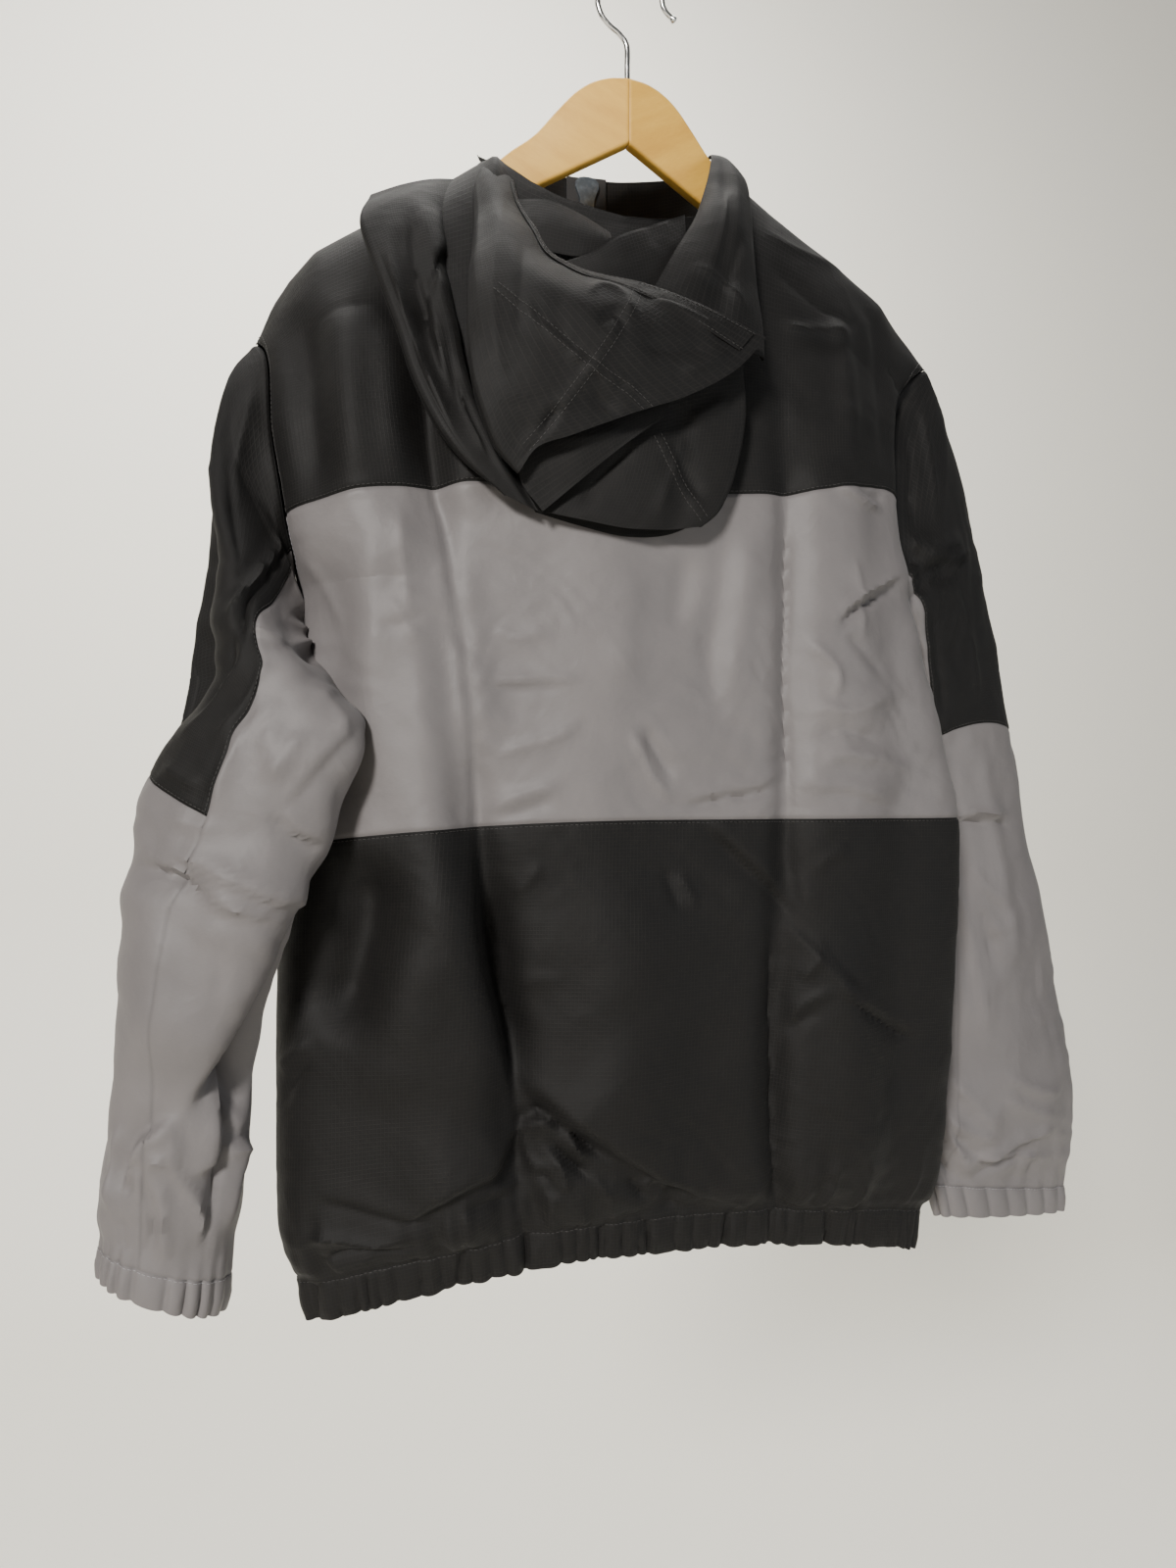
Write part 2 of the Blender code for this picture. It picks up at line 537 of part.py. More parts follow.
def hem_casing(mat):
    """One strip from the zip round the back to the zip again, drawn up in tucks."""
    per_tuck = 3
    columns = CASING_GATHERS * per_tuck
    turn = np.linspace(0, 1, columns)
    left_end = float(zip_s(-ZIP_CHANNEL, np.array(0.5)))
    right_end = float(zip_s(ZIP_CHANNEL, np.array(0.5)))
    front_left, front_right = left_end + 1, 1 - right_end
    total = front_left + 2 + front_right
    place = turn * total
    rows = []
    outs = []
    for v, swell in ((HEM, 1.0), (CASING_TOP, 0.0)):
        level = np.full_like(place, v)
        on_left = left_end - place
        on_back = place - front_left - 1
        on_right = 1 - (place - front_left - 2)
        parts = [body("front", np.clip(on_left, -1, 1), level), body("back", np.clip(on_back, -1, 1), level),
                 body("front", np.clip(on_right, -1, 1), level)]
        zone = np.where(place < front_left, 0, np.where(place < front_left + 2, 1, 2))
        points = np.choose(zone[:, None], [p[0] for p in parts])
        out = np.choose(zone[:, None], [p[1] for p in parts])
        calm = smooth_step(np.minimum(turn, 1 - turn) / 0.02)
        push = gather(turn * 2 * math.pi, CASING_GATHERS, 4.5) * swell * calm
        rows.append(points + out * push[:, None])
        outs.append(out)
    outer, out = np.array(rows), np.array(outs)
    wall("hem_casing", trimmed(outer), out, mat)


# ---- sleeves ----
ARMHOLE_ROWS = np.array(sorted(v for v in set(BANDS["middle"] + BANDS["yoke"]) if v >= UNDERARM))


def armhole(sign, angle):
    """The armhole's edge at an angle round the sleeve: back half up to 180, front half beyond.
    Between two rows of the body's mesh the edge is straight, so the sleeve's is too."""
    level = TOP - (TOP - UNDERARM) * (1 - np.cos(angle)) / 2
    at = np.clip(np.searchsorted(ARMHOLE_ROWS, level - 1e-6), 1, len(ARMHOLE_ROWS) - 1)
    below, above = ARMHOLE_ROWS[at - 1], ARMHOLE_ROWS[at]
    share = ((level - below) / (above - below))[..., None]
    on_back = (np.sin(angle) >= 0)[..., None]

    def edge(at):
        ends = {}
        for side in BODY:
            rim = body_base(side, np.full_like(at, float(sign)), at)
            inside = body_base(side, np.full_like(at, sign * 0.97), at)
            ends[side] = (rim, rim - inside)
        return (np.where(on_back, ends["back"][0], ends["front"][0]),
                np.where(on_back, ends["back"][1], ends["front"][1]))

    low, low_away = edge(below)
    high, high_away = edge(above)
    away = low_away * (1 - share) + high_away * share
    away[..., 0] += sign * 8.0
    away /= np.linalg.norm(away, axis=-1, keepdims=True)
    return low * (1 - share) + high * share + away * SLEEVE_START


def sleeve(sign, rings, angle, t):
    """A point of the sleeve: t is 0 at the armhole and counts the rings."""
    def ring(at):
        read = {name: along(rings[name], at - 1) for name in rings}
        end_out = np.stack([read["x_out"], read["y_out"], read["z_out"]], axis=-1)
        end_in = np.stack([read["x_in"], read["y_in"], read["z_in"]], axis=-1)
        chord = end_in - end_out
        side = np.stack([chord[..., 1], -chord[..., 0], chord[..., 0] * 0], axis=-1)
        side *= -sign / np.linalg.norm(side, axis=-1, keepdims=True)
        on_back = (np.sin(angle) >= 0)[..., None]
        lean = np.array([sign * FRONT_LEAN, 1.0, 0.0])
        bulge = np.where(on_back, side * read["back"][..., None], lean * read["front"][..., None])
        round_off = np.abs(np.sin(angle))[..., None] ** 0.85
        return (end_out + end_in) / 2 - chord / 2 * np.cos(angle)[..., None] + bulge * round_off
    t = np.asarray(t, dtype=float)
    first = ring(np.maximum(t, 1.0))
    start = armhole(sign, angle)
    one, two = ring(np.ones_like(t)), ring(np.full_like(t, 2.0))
    u = np.clip(t, 0, 1)[..., None]
    leave, arrive = one - start, (two - start) / 2
    rise = u * u * (3 - 2 * u)
    head = (start * (1 - rise) + one * rise + u * (1 - u) ** 2 * leave - u * u * (1 - u) * arrive)
    return np.where(u < 1, head, first)


def make_sleeves():
    """Top, lower and under sleeve and the cuff casing, on both sides."""
    charcoal = material("charcoal_ripstop", CHARCOAL, 0.62)
    grey = material("grey_taffeta", GREY, 0.5)
    for side, (sign, rings) in SLEEVES.items():
        seams = SLEEVE_SEAMS[side]
        count = len(rings["x_out"])
        cuff_from, cuff_to = count - 1, count
        seam_ring, rise = TOP_SLEEVE_END[side]

        def seam_at(u, ring=seam_ring, lift=rise):
            return ring + lift * (1 - np.cos(u)) / 2

        def back_seam(v, rows=seams):
            return np.radians(along(rows["back"], v, rows["ring"]))

        def front_seam(v, rows=seams):
            return np.radians(along(rows["front"], v, rows["ring"]) - 360)

        def surface(u, v, s=sign, r=rings):
            return sleeve(s, r, u, v)

        def piece(name, ends, zones, starts, mat):
            """One cut piece; its columns begin on the rows of the armhole's edge."""
            grids = [mesh_grid(ends, zone, len(starts), rows) for zone, rows in zones]
            u = np.concatenate([grids[0][0]] + [g[0][1:] for g in grids[1:]])
            v = np.concatenate([grids[0][1]] + [g[1][1:] for g in grids[1:]])
            near = np.clip(1 - v, 0, 1)
            u = u * (1 - near) + np.asarray(starts) * near
            wall(name, trimmed(surface(u, v)), sleeve_out(surface, u, v, sign), mat)

        def under_front(v, ahead=front_seam):
            return ahead(v) + 2 * math.pi

        crown = list(np.arccos(1 - 2 * (TOP - ARMHOLE_ROWS[:1:-1]) / (TOP - UNDERARM)))
        over = [-a for a in reversed(crown[1:])] + crown
        low = np.interp([0, 0.5, 1, 1.6, 2], [0, 1, 2], ARMHOLE_ROWS[2::-1])
        beneath = list(np.arccos(1 - 2 * (TOP - low) / (TOP - UNDERARM)))
        beneath += [2 * math.pi - angle for angle in reversed(beneath[:-1])]
        upper, lower = ((0, seam_at), 9), ((seam_at, cuff_from), 8)
        piece(f"sleeve_{side}_top", (front_seam, back_seam), [upper], over, charcoal)
        piece(f"sleeve_{side}_lower", (front_seam, back_seam), [lower], over, grey)
        piece(f"sleeve_{side}_under", (back_seam, under_front), [upper, lower], beneath, grey)
        cuff(f"cuff_{side}", surface, sign, cuff_from, cuff_to, grey)


def sleeve_out(surface, u, v, sign):
    """The direction out of a sleeve's cloth."""
    return facing(surface, u, v, 0.1, 0.12) * sign


def cuff(name, surface, sign, start, end, mat):
    """An elastic casing round the wrist, drawn up in tucks."""
    columns = CUFF_GATHERS * 3
    turn = np.linspace(0, 2 * math.pi, columns, endpoint=False)
    levels = np.array([start, (start + end) / 2, end - 0.03])
    swell = np.array([0.0, 0.8, 1.0])
    u, v = np.meshgrid(turn, levels)
    outer = surface(u, v)
    out = sleeve_out(surface, u, v, sign)
    push = gather(u, CUFF_GATHERS, 3.0) * swell[:, None]
    outer = trimmed(outer + out * push[..., None], wrap=True)
    wall(name, outer, out, mat, wrap=True)


# ---- hood and collar ----
def curve(points, t):
    """A smooth curve through points, read at fractions of its length."""
    points = np.array(points, dtype=float)
    length = np.concatenate([[0], np.cumsum(np.linalg.norm(np.diff(points, axis=0), axis=1))])
    return along(points, t * length[-1], length)


def patch(edges, u, v):
    """A sheet that hangs between four edges; v runs from the top (0) to the bottom (1)."""
    u, v = np.clip(u, 0, 1), np.clip(v, 0, 1)
    top, bottom = edges["top"], edges["bottom"]
    left = [top[0]] + edges["left"] + [bottom[0]]
    right = [top[-1]] + edges["right"] + [bottom[-1]]
    a, b = u[..., None], v[..., None]
    across = curve(top, u) * (1 - b) + curve(bottom, u) * b
    down = curve(left, v) * (1 - a) + curve(right, v) * a
    corners = (np.array(top[0], float) * (1 - a) * (1 - b) + np.array(top[-1], float) * a * (1 - b)
               + np.array(bottom[0], float) * (1 - a) * b + np.array(bottom[-1], float) * a * b)
    return across + down - corners


def hood_point(name, u, v):
    """A point of a hood sheet with its belly and its folds."""
    sheet = HOOD_SHEETS[name]
    u, v = np.clip(u, 0, 1), np.clip(v, 0, 1)
    point = patch(sheet, u, v)
    push = sheet["bulge"] * np.sin(math.pi * u) * np.sin(math.pi * v)
    for (u0, v0), (u1, v1), depth, width in HOOD_FOLDS.get(name, []):
        run = np.array([u1 - u0, v1 - v0])
        reach = np.clip(((u - u0) * run[0] + (v - v0) * run[1]) / (run @ run), 0, 1)
        away = np.hypot(u - u0 - run[0] * reach, v - v0 - run[1] * reach)
        push = push - depth * np.exp(-(away / width) ** 2) * smooth_step(v / 0.35)
    point = point.copy()
    point[..., 1] -= push
    return point


def curled(points, out, side, radius):
    """Roll one border of a sheet backwards, as a soft fold of the given radius."""
    if side in ("top", "bottom"):
        rolled, rolled_out = curled(points.transpose(1, 0, 2), out.transpose(1, 0, 2),
                                    {"top": "left", "bottom": "right"}[side], radius)
        return rolled.transpose(1, 0, 2), rolled_out.transpose(1, 0, 2)
    edge, inside = (0, 1) if side == "left" else (-1, -2)
    rim = points[:, edge]
    normal = out[:, edge]
    away = rim - points[:, inside]
    away -= normal * np.sum(away * normal, axis=1, keepdims=True)
    away /= np.linalg.norm(away, axis=1, keepdims=True)
    reach = np.linspace(0, 1, len(rim))[:, None]
    size = CURL_LEAST + (radius - CURL_LEAST) * smooth_step(reach / 0.35) * smooth_step((1 - reach) / 0.15)
    extra, extra_out = [], []
    for degrees in (45, 90, 140):
        turn = math.radians(degrees)
        extra.append(rim + away * (size * math.sin(turn)) - normal * (size * (1 - math.cos(turn))))
        extra_out.append(normal * math.cos(turn) + away * math.sin(turn))
    if side == "left":
        order = [e[:, None] for e in reversed(extra)] + [points]
        order_out = [e[:, None] for e in reversed(extra_out)] + [out]
    else:
        order = [points] + [e[:, None] for e in extra]
        order_out = [out] + [e[:, None] for e in extra_out]
    return np.concatenate(order, axis=1), np.concatenate(order_out, axis=1)


def make_hood():
    """The sheets of the hood, the casing of its face opening and the two collar fronts."""
    charcoal = material("charcoal_ripstop", CHARCOAL, 0.62)
    size = {"hood_flap": (12, 13), "hood_drape": (12, 12)}
    for name, sheet in HOOD_SHEETS.items():
        columns, rows = size.get(name, (9, 8))
        u, v = mesh_grid((0, 1), (0, 1), columns, rows)
        points = hood_point(name, u, v)
        out = -facing(lambda a, b, n=name: hood_point(n, a, b), u, v, 0.01, 0.01)
        for side, radius in sheet["curl"].items():
            points, out = curled(points, out, side, radius)
        wall(name, points, out, charcoal)
    rim(charcoal)
    for side in COLLAR:
        u, v = mesh_grid((0, 1), (0, 1), 11, 5)
        points, out = collar_point(collar_sheet(side), u, v)
        wall(f"collar_{side}", points, out, charcoal)


def collar_sheet(side):
    """The four edges of a collar front."""
    edges = COLLAR[side]
    ends = [(np.array(edges["top"][i], float) + np.array(edges["bottom"][i], float)) / 2 for i in (0, -1)]
    return {**edges, "left": [tuple(ends[0])], "right": [tuple(ends[1])]}


def collar_point(sheet, u, v):
    """A point of a collar front, and the direction out of it."""
    out = facing(lambda a, b: patch(sheet, a, b), u, v, 0.01, 0.01)
    return patch(sheet, u, v), out * np.sign(out[..., 1:2].mean())


def rim(mat):
    """The casing along the face opening lies on the flap's upper right border."""
    width = 0.11
    u, v = mesh_grid((1 - width, 0.995), (0.14, 0.97), 3, 16)
    name = "hood_flap"
    base = hood_point(name, u, v)
    out = -facing(lambda a, b: hood_point(name, a, b), u, v, 0.01, 0.01)
    wall("hood_rim", base + out * (RIM_AIR + TAPE), out, mat, thickness=TAPE)


# ---- zip ----
def tape_edges(sign):
    """The two long edges of a tape behind the cloth's flat strip, from the hem to the collar's top."""
    levels = np.unique(np.concatenate([[HEM + 0.03]] + list(BANDS.values())))
    levels[-1] = TOP - 0.04
    strip = [body("front", zip_s(sign * reach, levels), levels) for reach in (ZIP_CHANNEL, ZIP_STRIP)]
    v = np.linspace(1, 0, 5)
    sheet = collar_sheet("left" if sign < 0 else "right")
    collar = [collar_point(sheet, np.full(5, u), v) for u in (0.0, 0.1)]
    edges = []
    for reach in (TAPE_INNER, TAPE_OUTER):
        share = (reach - ZIP_CHANNEL) / (ZIP_STRIP - ZIP_CHANNEL)
        points = strip[0][0] * (1 - share) + strip[1][0] * share
        x = SLIDER_X + sign * reach
        share = ((x - collar[0][0][:, 0]) / (collar[1][0][:, 0] - collar[0][0][:, 0]))[:, None]
        high = collar[0][0] * (1 - share) + collar[1][0] * share
        points = np.concatenate([points, high[1:]])
        out = np.concatenate([strip[0][1], collar[0][1][1:]])
        edges.append((points - out * (CLOTH + TAPE_AIR), out))
    return np.stack([e[0] for e in edges], axis=1), np.stack([e[1] for e in edges], axis=1)


def make_zip():
    """Two tapes behind the fronts, the slider at the top and its hanging pull tab."""
    black = material("zip_tape", TAPE_BLACK, 0.8)
    metal = material("slider_metal", SLIDER_BLUE, 0.4, 0.6)
    for side, sign in (("left", -1), ("right", 1)):
        points, out = tape_edges(sign)
        wall(f"zip_tape_{side}", points, out, black, thickness=TAPE)
    slider(metal)
    pull_tab(metal)


def box(x0, x1, y0, y1, z0, z1):
    """Corners and faces of a block."""
    points = [(x, y, z) for z in (z0, z1) for y in (y0, y1) for x in (x0, x1)]
    faces = [(0, 2, 3, 1), (4, 5, 7, 6), (0, 1, 5, 4), (2, 6, 7, 3), (0, 4, 6, 2), (1, 3, 7, 5)]
    return points, faces


def plate(outline, y0, y1, scale):
    """An outline in x and z, made into a plate between two values of y."""
    count = len(outline["x"])
    points = [(SLIDER_X + x * scale, y, SLIDER_TOP + z) for y in (y0, y1)
              for x, z in zip(outline["x"], outline["z"])]
    faces = [tuple(range(count)), tuple(range(2 * count - 1, count - 1, -1))]
    faces += [(i, (i + 1) % count, (i + 1) % count + count, i + count) for i in range(count)]
    return points, faces


def united(name, parts, mat):
    """Join overlapping closed shapes into one body."""
    items = [solid(f"{name}_{i}", points, faces, mat, smooth=False)
             for i, (points, faces) in enumerate(parts)]
    first = items[0]
    for other in items[1:]:
        union = first.modifiers.new("union", "BOOLEAN")
        union.operation = "UNION"
        union.object = other
    graph = bpy.context.evaluated_depsgraph_get()
    mesh = bpy.data.meshes.new_from_object(first.evaluated_get(graph))
    for item in items:
        bpy.data.objects.remove(item)
    mesh.name = name
    result = bpy.data.objects.new(name, mesh)
    bpy.context.collection.objects.link(result)
    return result


def slider(mat):
    """Inner plate with its wide round top, outer plate, the post between the tapes and the crown."""
    tape_front = 77 - CLOTH - TAPE_AIR
    inner_y = tape_front - TAPE - 0.6
    outer_y = tape_front + 0.4
    axis_z = SLIDER_TOP - HINGE_BELOW_TOP
    x = SLIDER_X
    parts = [plate(SLIDER_OUTLINE, inner_y - 1.6, inner_y, 1.0),
             plate(SLIDER_OUTLINE, outer_y, outer_y + 1.6, 0.66),
             box(x - 1.1, x + 1.1, inner_y - 0.8, outer_y + 0.8, SLIDER_TOP - 6.0, SLIDER_TOP - 1.2),
             box(x - 1.0, x + 1.0, outer_y + 0.8, outer_y + 5.4, axis_z + 1.6, axis_z + 3.2),
             box(x - 1.0, x + 1.0, outer_y + 0.8, outer_y + 5.4, axis_z - 3.2, axis_z - 1.6),
             box(x - 1.0, x + 1.0, outer_y + 4.2, outer_y + 5.4, axis_z - 3.2, axis_z + 3.2)]
    united("zip_slider", parts, mat)


def pull_tab(mat):
    """A flat tab whose top bar passes under the crown; it swings about the bar."""
    half = TAB_WIDTH / 2
    bar, thin = 0.7, TAB_THICK / 2
    parts = [box(-half, half, -bar, bar, -bar, bar),
             box(-half, -half + 1.5, -thin, thin, -6.0, bar - 0.1),
             box(half - 1.5, half, -thin, thin, -6.0, bar - 0.1),
             box(-half, half, -thin, thin, -TAB_LENGTH, -5.0)]
    tab = united("pull_tab", parts, mat)
    tab.location = [c * MM for c in pull_axis()]


def pull_axis():
    """The hinge of the pull tab, in millimetres."""
    outer_y = 77 - CLOTH - TAPE_AIR + 0.4
    return (SLIDER_X, outer_y + 2.9, SLIDER_TOP - HINGE_BELOW_TOP)


# ---- hanger ----
def make_hanger():
    """Two wooden arms that meet in a mitre, and the wire hook."""
    birch = material("birch", BIRCH, 0.5)
    stations = np.array([0, 8, 15, 22, 30, 38, 48, 58, 70, 84, 100, 130, 160, 190, 203, 210, 213.0])
    for side, sign in (("left", -1), ("right", 1)):
        rings = []
        for x in stations:
            top, bottom = along(ARM["top"], x, ARM["x"]), along(ARM["bottom"], x, ARM["x"])
            half = ARM_THICK / 2 * (1 if x < 205 else 0.8 if x < 212 else 0.4)
            rings.append(arm_ring(sign, x + 0.2, top, bottom, half))
        tube(f"hanger_arm_{side}", np.array(rings), birch)
    hook()


def arm_ring(sign, x, top, bottom, half):
    """A section of the arm: a tall rectangle with bevelled corners."""
    bevel = min(2.5, half * 0.5)
    middle = ARM_SWEEP * x
    section = [(-half, bottom + bevel), (-half + bevel, bottom), (half - bevel, bottom),
               (half, bottom + bevel), (half, top - bevel), (half - bevel, top),
               (-half + bevel, top), (-half, top - bevel)]
    return [(sign * x, middle + y, z) for y, z in section]


def tube(name, rings, mat):
    """Rings of equal count joined into a closed rod with capped ends."""
    count, around = rings.shape[:2]
    faces = [tuple(range(around)), tuple(range((count - 1) * around, count * around))]
    for r in range(count - 1):
        for c in range(around):
            d = (c + 1) % around
            faces.append((r * around + c, r * around + d, (r + 1) * around + d, (r + 1) * around + c))
    return solid(name, rings.reshape(-1, 3), faces, mat)


def hook():
    """Shank, offset bend, round crook and the small ball at its end, all in one plane."""
    steel = material("hook_steel", STEEL, 0.25, 1.0)
    path = [np.array(p, dtype=float) for p in HOOK_SHANK]
    centre = np.array([HOOK_CENTRE[0], WIRE_RADIUS - HOOK_RADIUS])
    for degrees in range(190, -1, -19):
        turn = math.radians(degrees)
        path.append(centre + HOOK_RADIUS * np.array([math.cos(turn), math.sin(turn)]))
    end = path[-1]
    path += [end + np.array(step) for step in ((0.8, -3.5), (3.0, -6.8), (6.0, -9.2))]
    ball = path[-1] + np.array([0.8, -0.6])
    radii = [WIRE_RADIUS] * len(path)
    for step, radius in ((0.8, 2.3), (1.8, 2.6), (2.9, 2.3), (3.6, 1.2)):
        path.append(ball + np.array([0.78, -0.62]) * step)
        radii.append(radius)
    path = np.array(path)
    heading = np.gradient(path, axis=0)
    heading /= np.linalg.norm(heading, axis=1, keepdims=True)
    rings = []
    for (x, z), (hx, hz), radius in zip(path, heading, radii):
        rings.append([(x + radius * math.cos(a) * -hz, radius * math.sin(a), z + radius * math.cos(a) * hx)
                      for a in np.arange(8) * math.pi / 4])
    tube("hanger_hook", np.array(rings), steel)


def main():
    for item in list(bpy.data.objects):
        bpy.data.objects.remove(item)
    make_body()
    make_sleeves()
    make_hood()
    make_zip()
    make_hanger()


main()
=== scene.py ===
# %% [markdown]
# # A hooded windbreaker on a wooden hanger
# The jacket hangs with its back to us. It is sewn from two cloths: a charcoal ripstop for the
# hood, the yoke, the upper sleeves and the lower body, and a smooth grey taffeta between them.
# The solids of the CAD model carry the part in a simulation. Here each of them gets its looks:
# a thin shell on the same form, with its creases, gathers, seams, stitches and weave.

# %% Load the frame
import json
import math

import bpy
import numpy as np
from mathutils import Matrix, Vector

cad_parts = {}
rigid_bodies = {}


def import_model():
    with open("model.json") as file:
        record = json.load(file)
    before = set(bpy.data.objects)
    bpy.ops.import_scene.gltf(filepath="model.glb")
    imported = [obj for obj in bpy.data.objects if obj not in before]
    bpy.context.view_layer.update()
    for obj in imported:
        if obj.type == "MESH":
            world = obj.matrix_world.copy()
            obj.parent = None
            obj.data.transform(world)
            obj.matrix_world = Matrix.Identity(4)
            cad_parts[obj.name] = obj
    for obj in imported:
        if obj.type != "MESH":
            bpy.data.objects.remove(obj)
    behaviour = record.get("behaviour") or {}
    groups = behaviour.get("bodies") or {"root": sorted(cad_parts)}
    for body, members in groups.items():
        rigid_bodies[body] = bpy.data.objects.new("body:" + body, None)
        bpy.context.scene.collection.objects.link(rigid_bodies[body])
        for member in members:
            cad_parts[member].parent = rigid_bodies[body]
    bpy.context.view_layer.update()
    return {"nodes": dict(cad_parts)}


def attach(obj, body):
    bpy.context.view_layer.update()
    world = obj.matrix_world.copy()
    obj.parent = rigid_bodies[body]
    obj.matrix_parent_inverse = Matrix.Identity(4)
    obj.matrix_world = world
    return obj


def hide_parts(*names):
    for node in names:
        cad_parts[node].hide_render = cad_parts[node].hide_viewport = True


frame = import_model()
MM = 0.001
BODY_NAME = "jacket"
FINE = 1.0        # a coarser mesh while trying things out


def add_object(name, data):
    """Make an object from its data and put it in the scene."""
    item = bpy.data.objects.new(name, data)
    bpy.context.scene.collection.objects.link(item)
    return item


def add_mesh(name, points, faces, finish, sharp_from=None):
    """Make a smooth mesh object from points in metres; edges sharper than an angle stay sharp."""
    mesh = bpy.data.meshes.new(name)
    mesh.from_pydata(points, [], faces)
    mesh.shade_smooth()
    if sharp_from:
        mesh.set_sharp_from_angle(angle=math.radians(sharp_from))
    mesh.materials.append(finish)
    return add_object(name, mesh)


# %% [markdown]
# The camera stands level, a little lower than the middle of the back and to its left, and looks
# 15 degrees to the right. Its distance and its lens set how strongly the near sleeve grows.

# %% Camera
CAMERA_PLACE = (-0.2327, -0.7659, -0.5565)
CAMERA_TURN, LENS, SENSOR_HEIGHT = 15.0, 18.03, 24.0
camera_data = bpy.data.cameras.new("camera")
camera_data.sensor_fit = "VERTICAL"
camera_data.sensor_height = SENSOR_HEIGHT
camera_data.lens = LENS
camera = add_object("camera", camera_data)
camera.location = CAMERA_PLACE
camera.rotation_euler = (math.pi / 2, 0, -math.radians(CAMERA_TURN))
bpy.context.scene.camera = camera

# %% [markdown]
# Cloth forms come from short tables: a column holds one measure, a row one level of the body or
# one ring of a sleeve. A smooth curve runs through the rows, so the mesh may be as fine as the
# looks need. All tables are in millimetres.

# %% Tables and smooth curves
def table(columns, rows):
    """Name the columns of a small table of numbers."""
    data = np.array(rows, dtype=float)
    return {name: data[:, i] for i, name in enumerate(columns.split())}


def tangents(values, keys):
    """The slope of a smooth curve at each row of a column."""
    step = np.diff(keys)
    slope = (np.diff(values, axis=0).T / step).T
    tangent = np.empty_like(values)
    tangent[0], tangent[-1] = slope[0], slope[-1]
    before, after = step[:-1], step[1:]
    tangent[1:-1] = ((slope[:-1].T * after + slope[1:].T * before) / (before + after)).T
    return tangent


def along(values, t, keys=None, slopes=None):
    """Read a column of a table at t with a smooth curve through its rows."""
    values = np.asarray(values, dtype=float)
    keys = np.arange(len(values), dtype=float) if keys is None else np.asarray(keys, dtype=float)
    leave, arrive = slopes if slopes else (tangents(values, keys),) * 2
    t = np.clip(np.asarray(t, dtype=float), keys[0], keys[-1])
    step = np.diff(keys)
    i = np.clip(np.searchsorted(keys, t, side="right") - 1, 0, len(step) - 1)
    u = (t - keys[i]) / step[i]
    width = step[i]
    if values.ndim > 1:
        u, width = u[..., None], width[..., None]
    rise = u * u * (3 - 2 * u)
    return (values[i] * (1 - rise) + values[i + 1] * rise
            + width * (u * (1 - u) ** 2 * leave[i] - u * u * (1 - u) * arrive[i + 1]))


def smooth_step(t):
    """0 to 1 with level ends."""
    t = np.clip(t, 0, 1)
    return t * t * (3 - 2 * t)


def line_lengths(points):
    """The distance of each point of a line from its first one."""
    return np.concatenate([[0], np.cumsum(np.linalg.norm(np.diff(points, axis=0), axis=1))])


def hump(away, width):
    """1 in the middle of a soft hill and 0 far from it."""
    return np.exp(-(away / width) ** 2)


def power(value, exponent):
    """A power that keeps the sign."""
    return np.sign(value) * np.abs(value) ** exponent


def facing(surface, u, v, du, dv):
    """Unit vectors across a surface, from small steps to both sides."""
    across = np.cross(surface(u + du, v) - surface(u - du, v),
                      surface(u, v + dv) - surface(u, v - dv))
    return across / np.maximum(np.linalg.norm(across, axis=-1, keepdims=True), 1e-9)


# %% [markdown]
# Thin nylon doesn't drape softly. It breaks into flat facets with small sharp crests. A sum of
# folded waves in several directions gives such facets, and a slow random field bends the waves
# and lets the facets come and go, so that no two places look alike.

# %% Random fields for crumpled cloth
HASH = np.array([73856093, 19349663, 83492791])      # large primes that scatter the cells
ROUNDED_CREST = 0.004


def noise(points, size, seed=0):
    """Smooth random values from -1 to 1 that change over `size` millimetres."""
    place = np.asarray(points, dtype=float) / size + seed * 7.31
    cell = np.floor(place).astype(np.int64)
    inside = place - cell
    inside = inside * inside * (3 - 2 * inside)
    total = 0
    for corner in range(8):
        bits = np.array([corner & 1, corner >> 1 & 1, corner >> 2])
        key = (cell + bits) @ HASH + seed * 2654435
        key = (key ^ (key >> 13)) * 1274126177 & 0x7FFFFFFF
        key = (key ^ (key >> 15)) & 0xFFFF
        weight = np.prod(np.where(bits, inside, 1 - inside), axis=-1)
        total = total + (key / 32767.5 - 1) * weight
    return total


def crumple(points, size, seed, waves=7):
    """Facets of pressed cloth: folded waves in several directions, sharp at their crests."""
    bend = np.stack([noise(points, size * 1.7, seed + k) for k in (1, 2, 3)], axis=-1)
    bent = points + bend * size * 0.8
    random = np.random.default_rng(seed)
    total = 0
    for _ in range(waves):
        heading = random.normal(size=3) * (1, 0.6, 1)
        heading /= np.linalg.norm(heading)
        phase = (bent @ heading) / (size * random.uniform(0.8, 2.0)) + random.uniform(0, 1)
        fold = np.abs((phase % 1) * 2 - 1)
        total = total + np.sqrt(fold * fold + ROUNDED_CREST) * random.uniform(0.4, 1)
    return (total / waves - 0.35) * 2.5


def patchy(points, size, seed):
    """0 to 1: where the cloth is crumpled and where it lies smooth."""
    return smooth_step(0.5 + 0.9 * noise(points, size, seed))


# %% [markdown]
# The creases that can be told apart are listed one by one. Each row is one crease: `push` lifts or
# sinks a soft line of the given `width`; `step` makes one side stand above the other, and the
# difference dies out over `reach`; then come the points of its line, as (x, z) on the cloth.

# %% Creases
SOFT_FROM = 9      # a crease this wide has a round top instead of a sharp one


def crest(away, width):
    """A ridge with a sharp top and long soft feet."""
    return 1.4 * np.exp(-(np.sqrt(away * away + 0.4) - 0.63) / max(0.6 * width, 1.7))


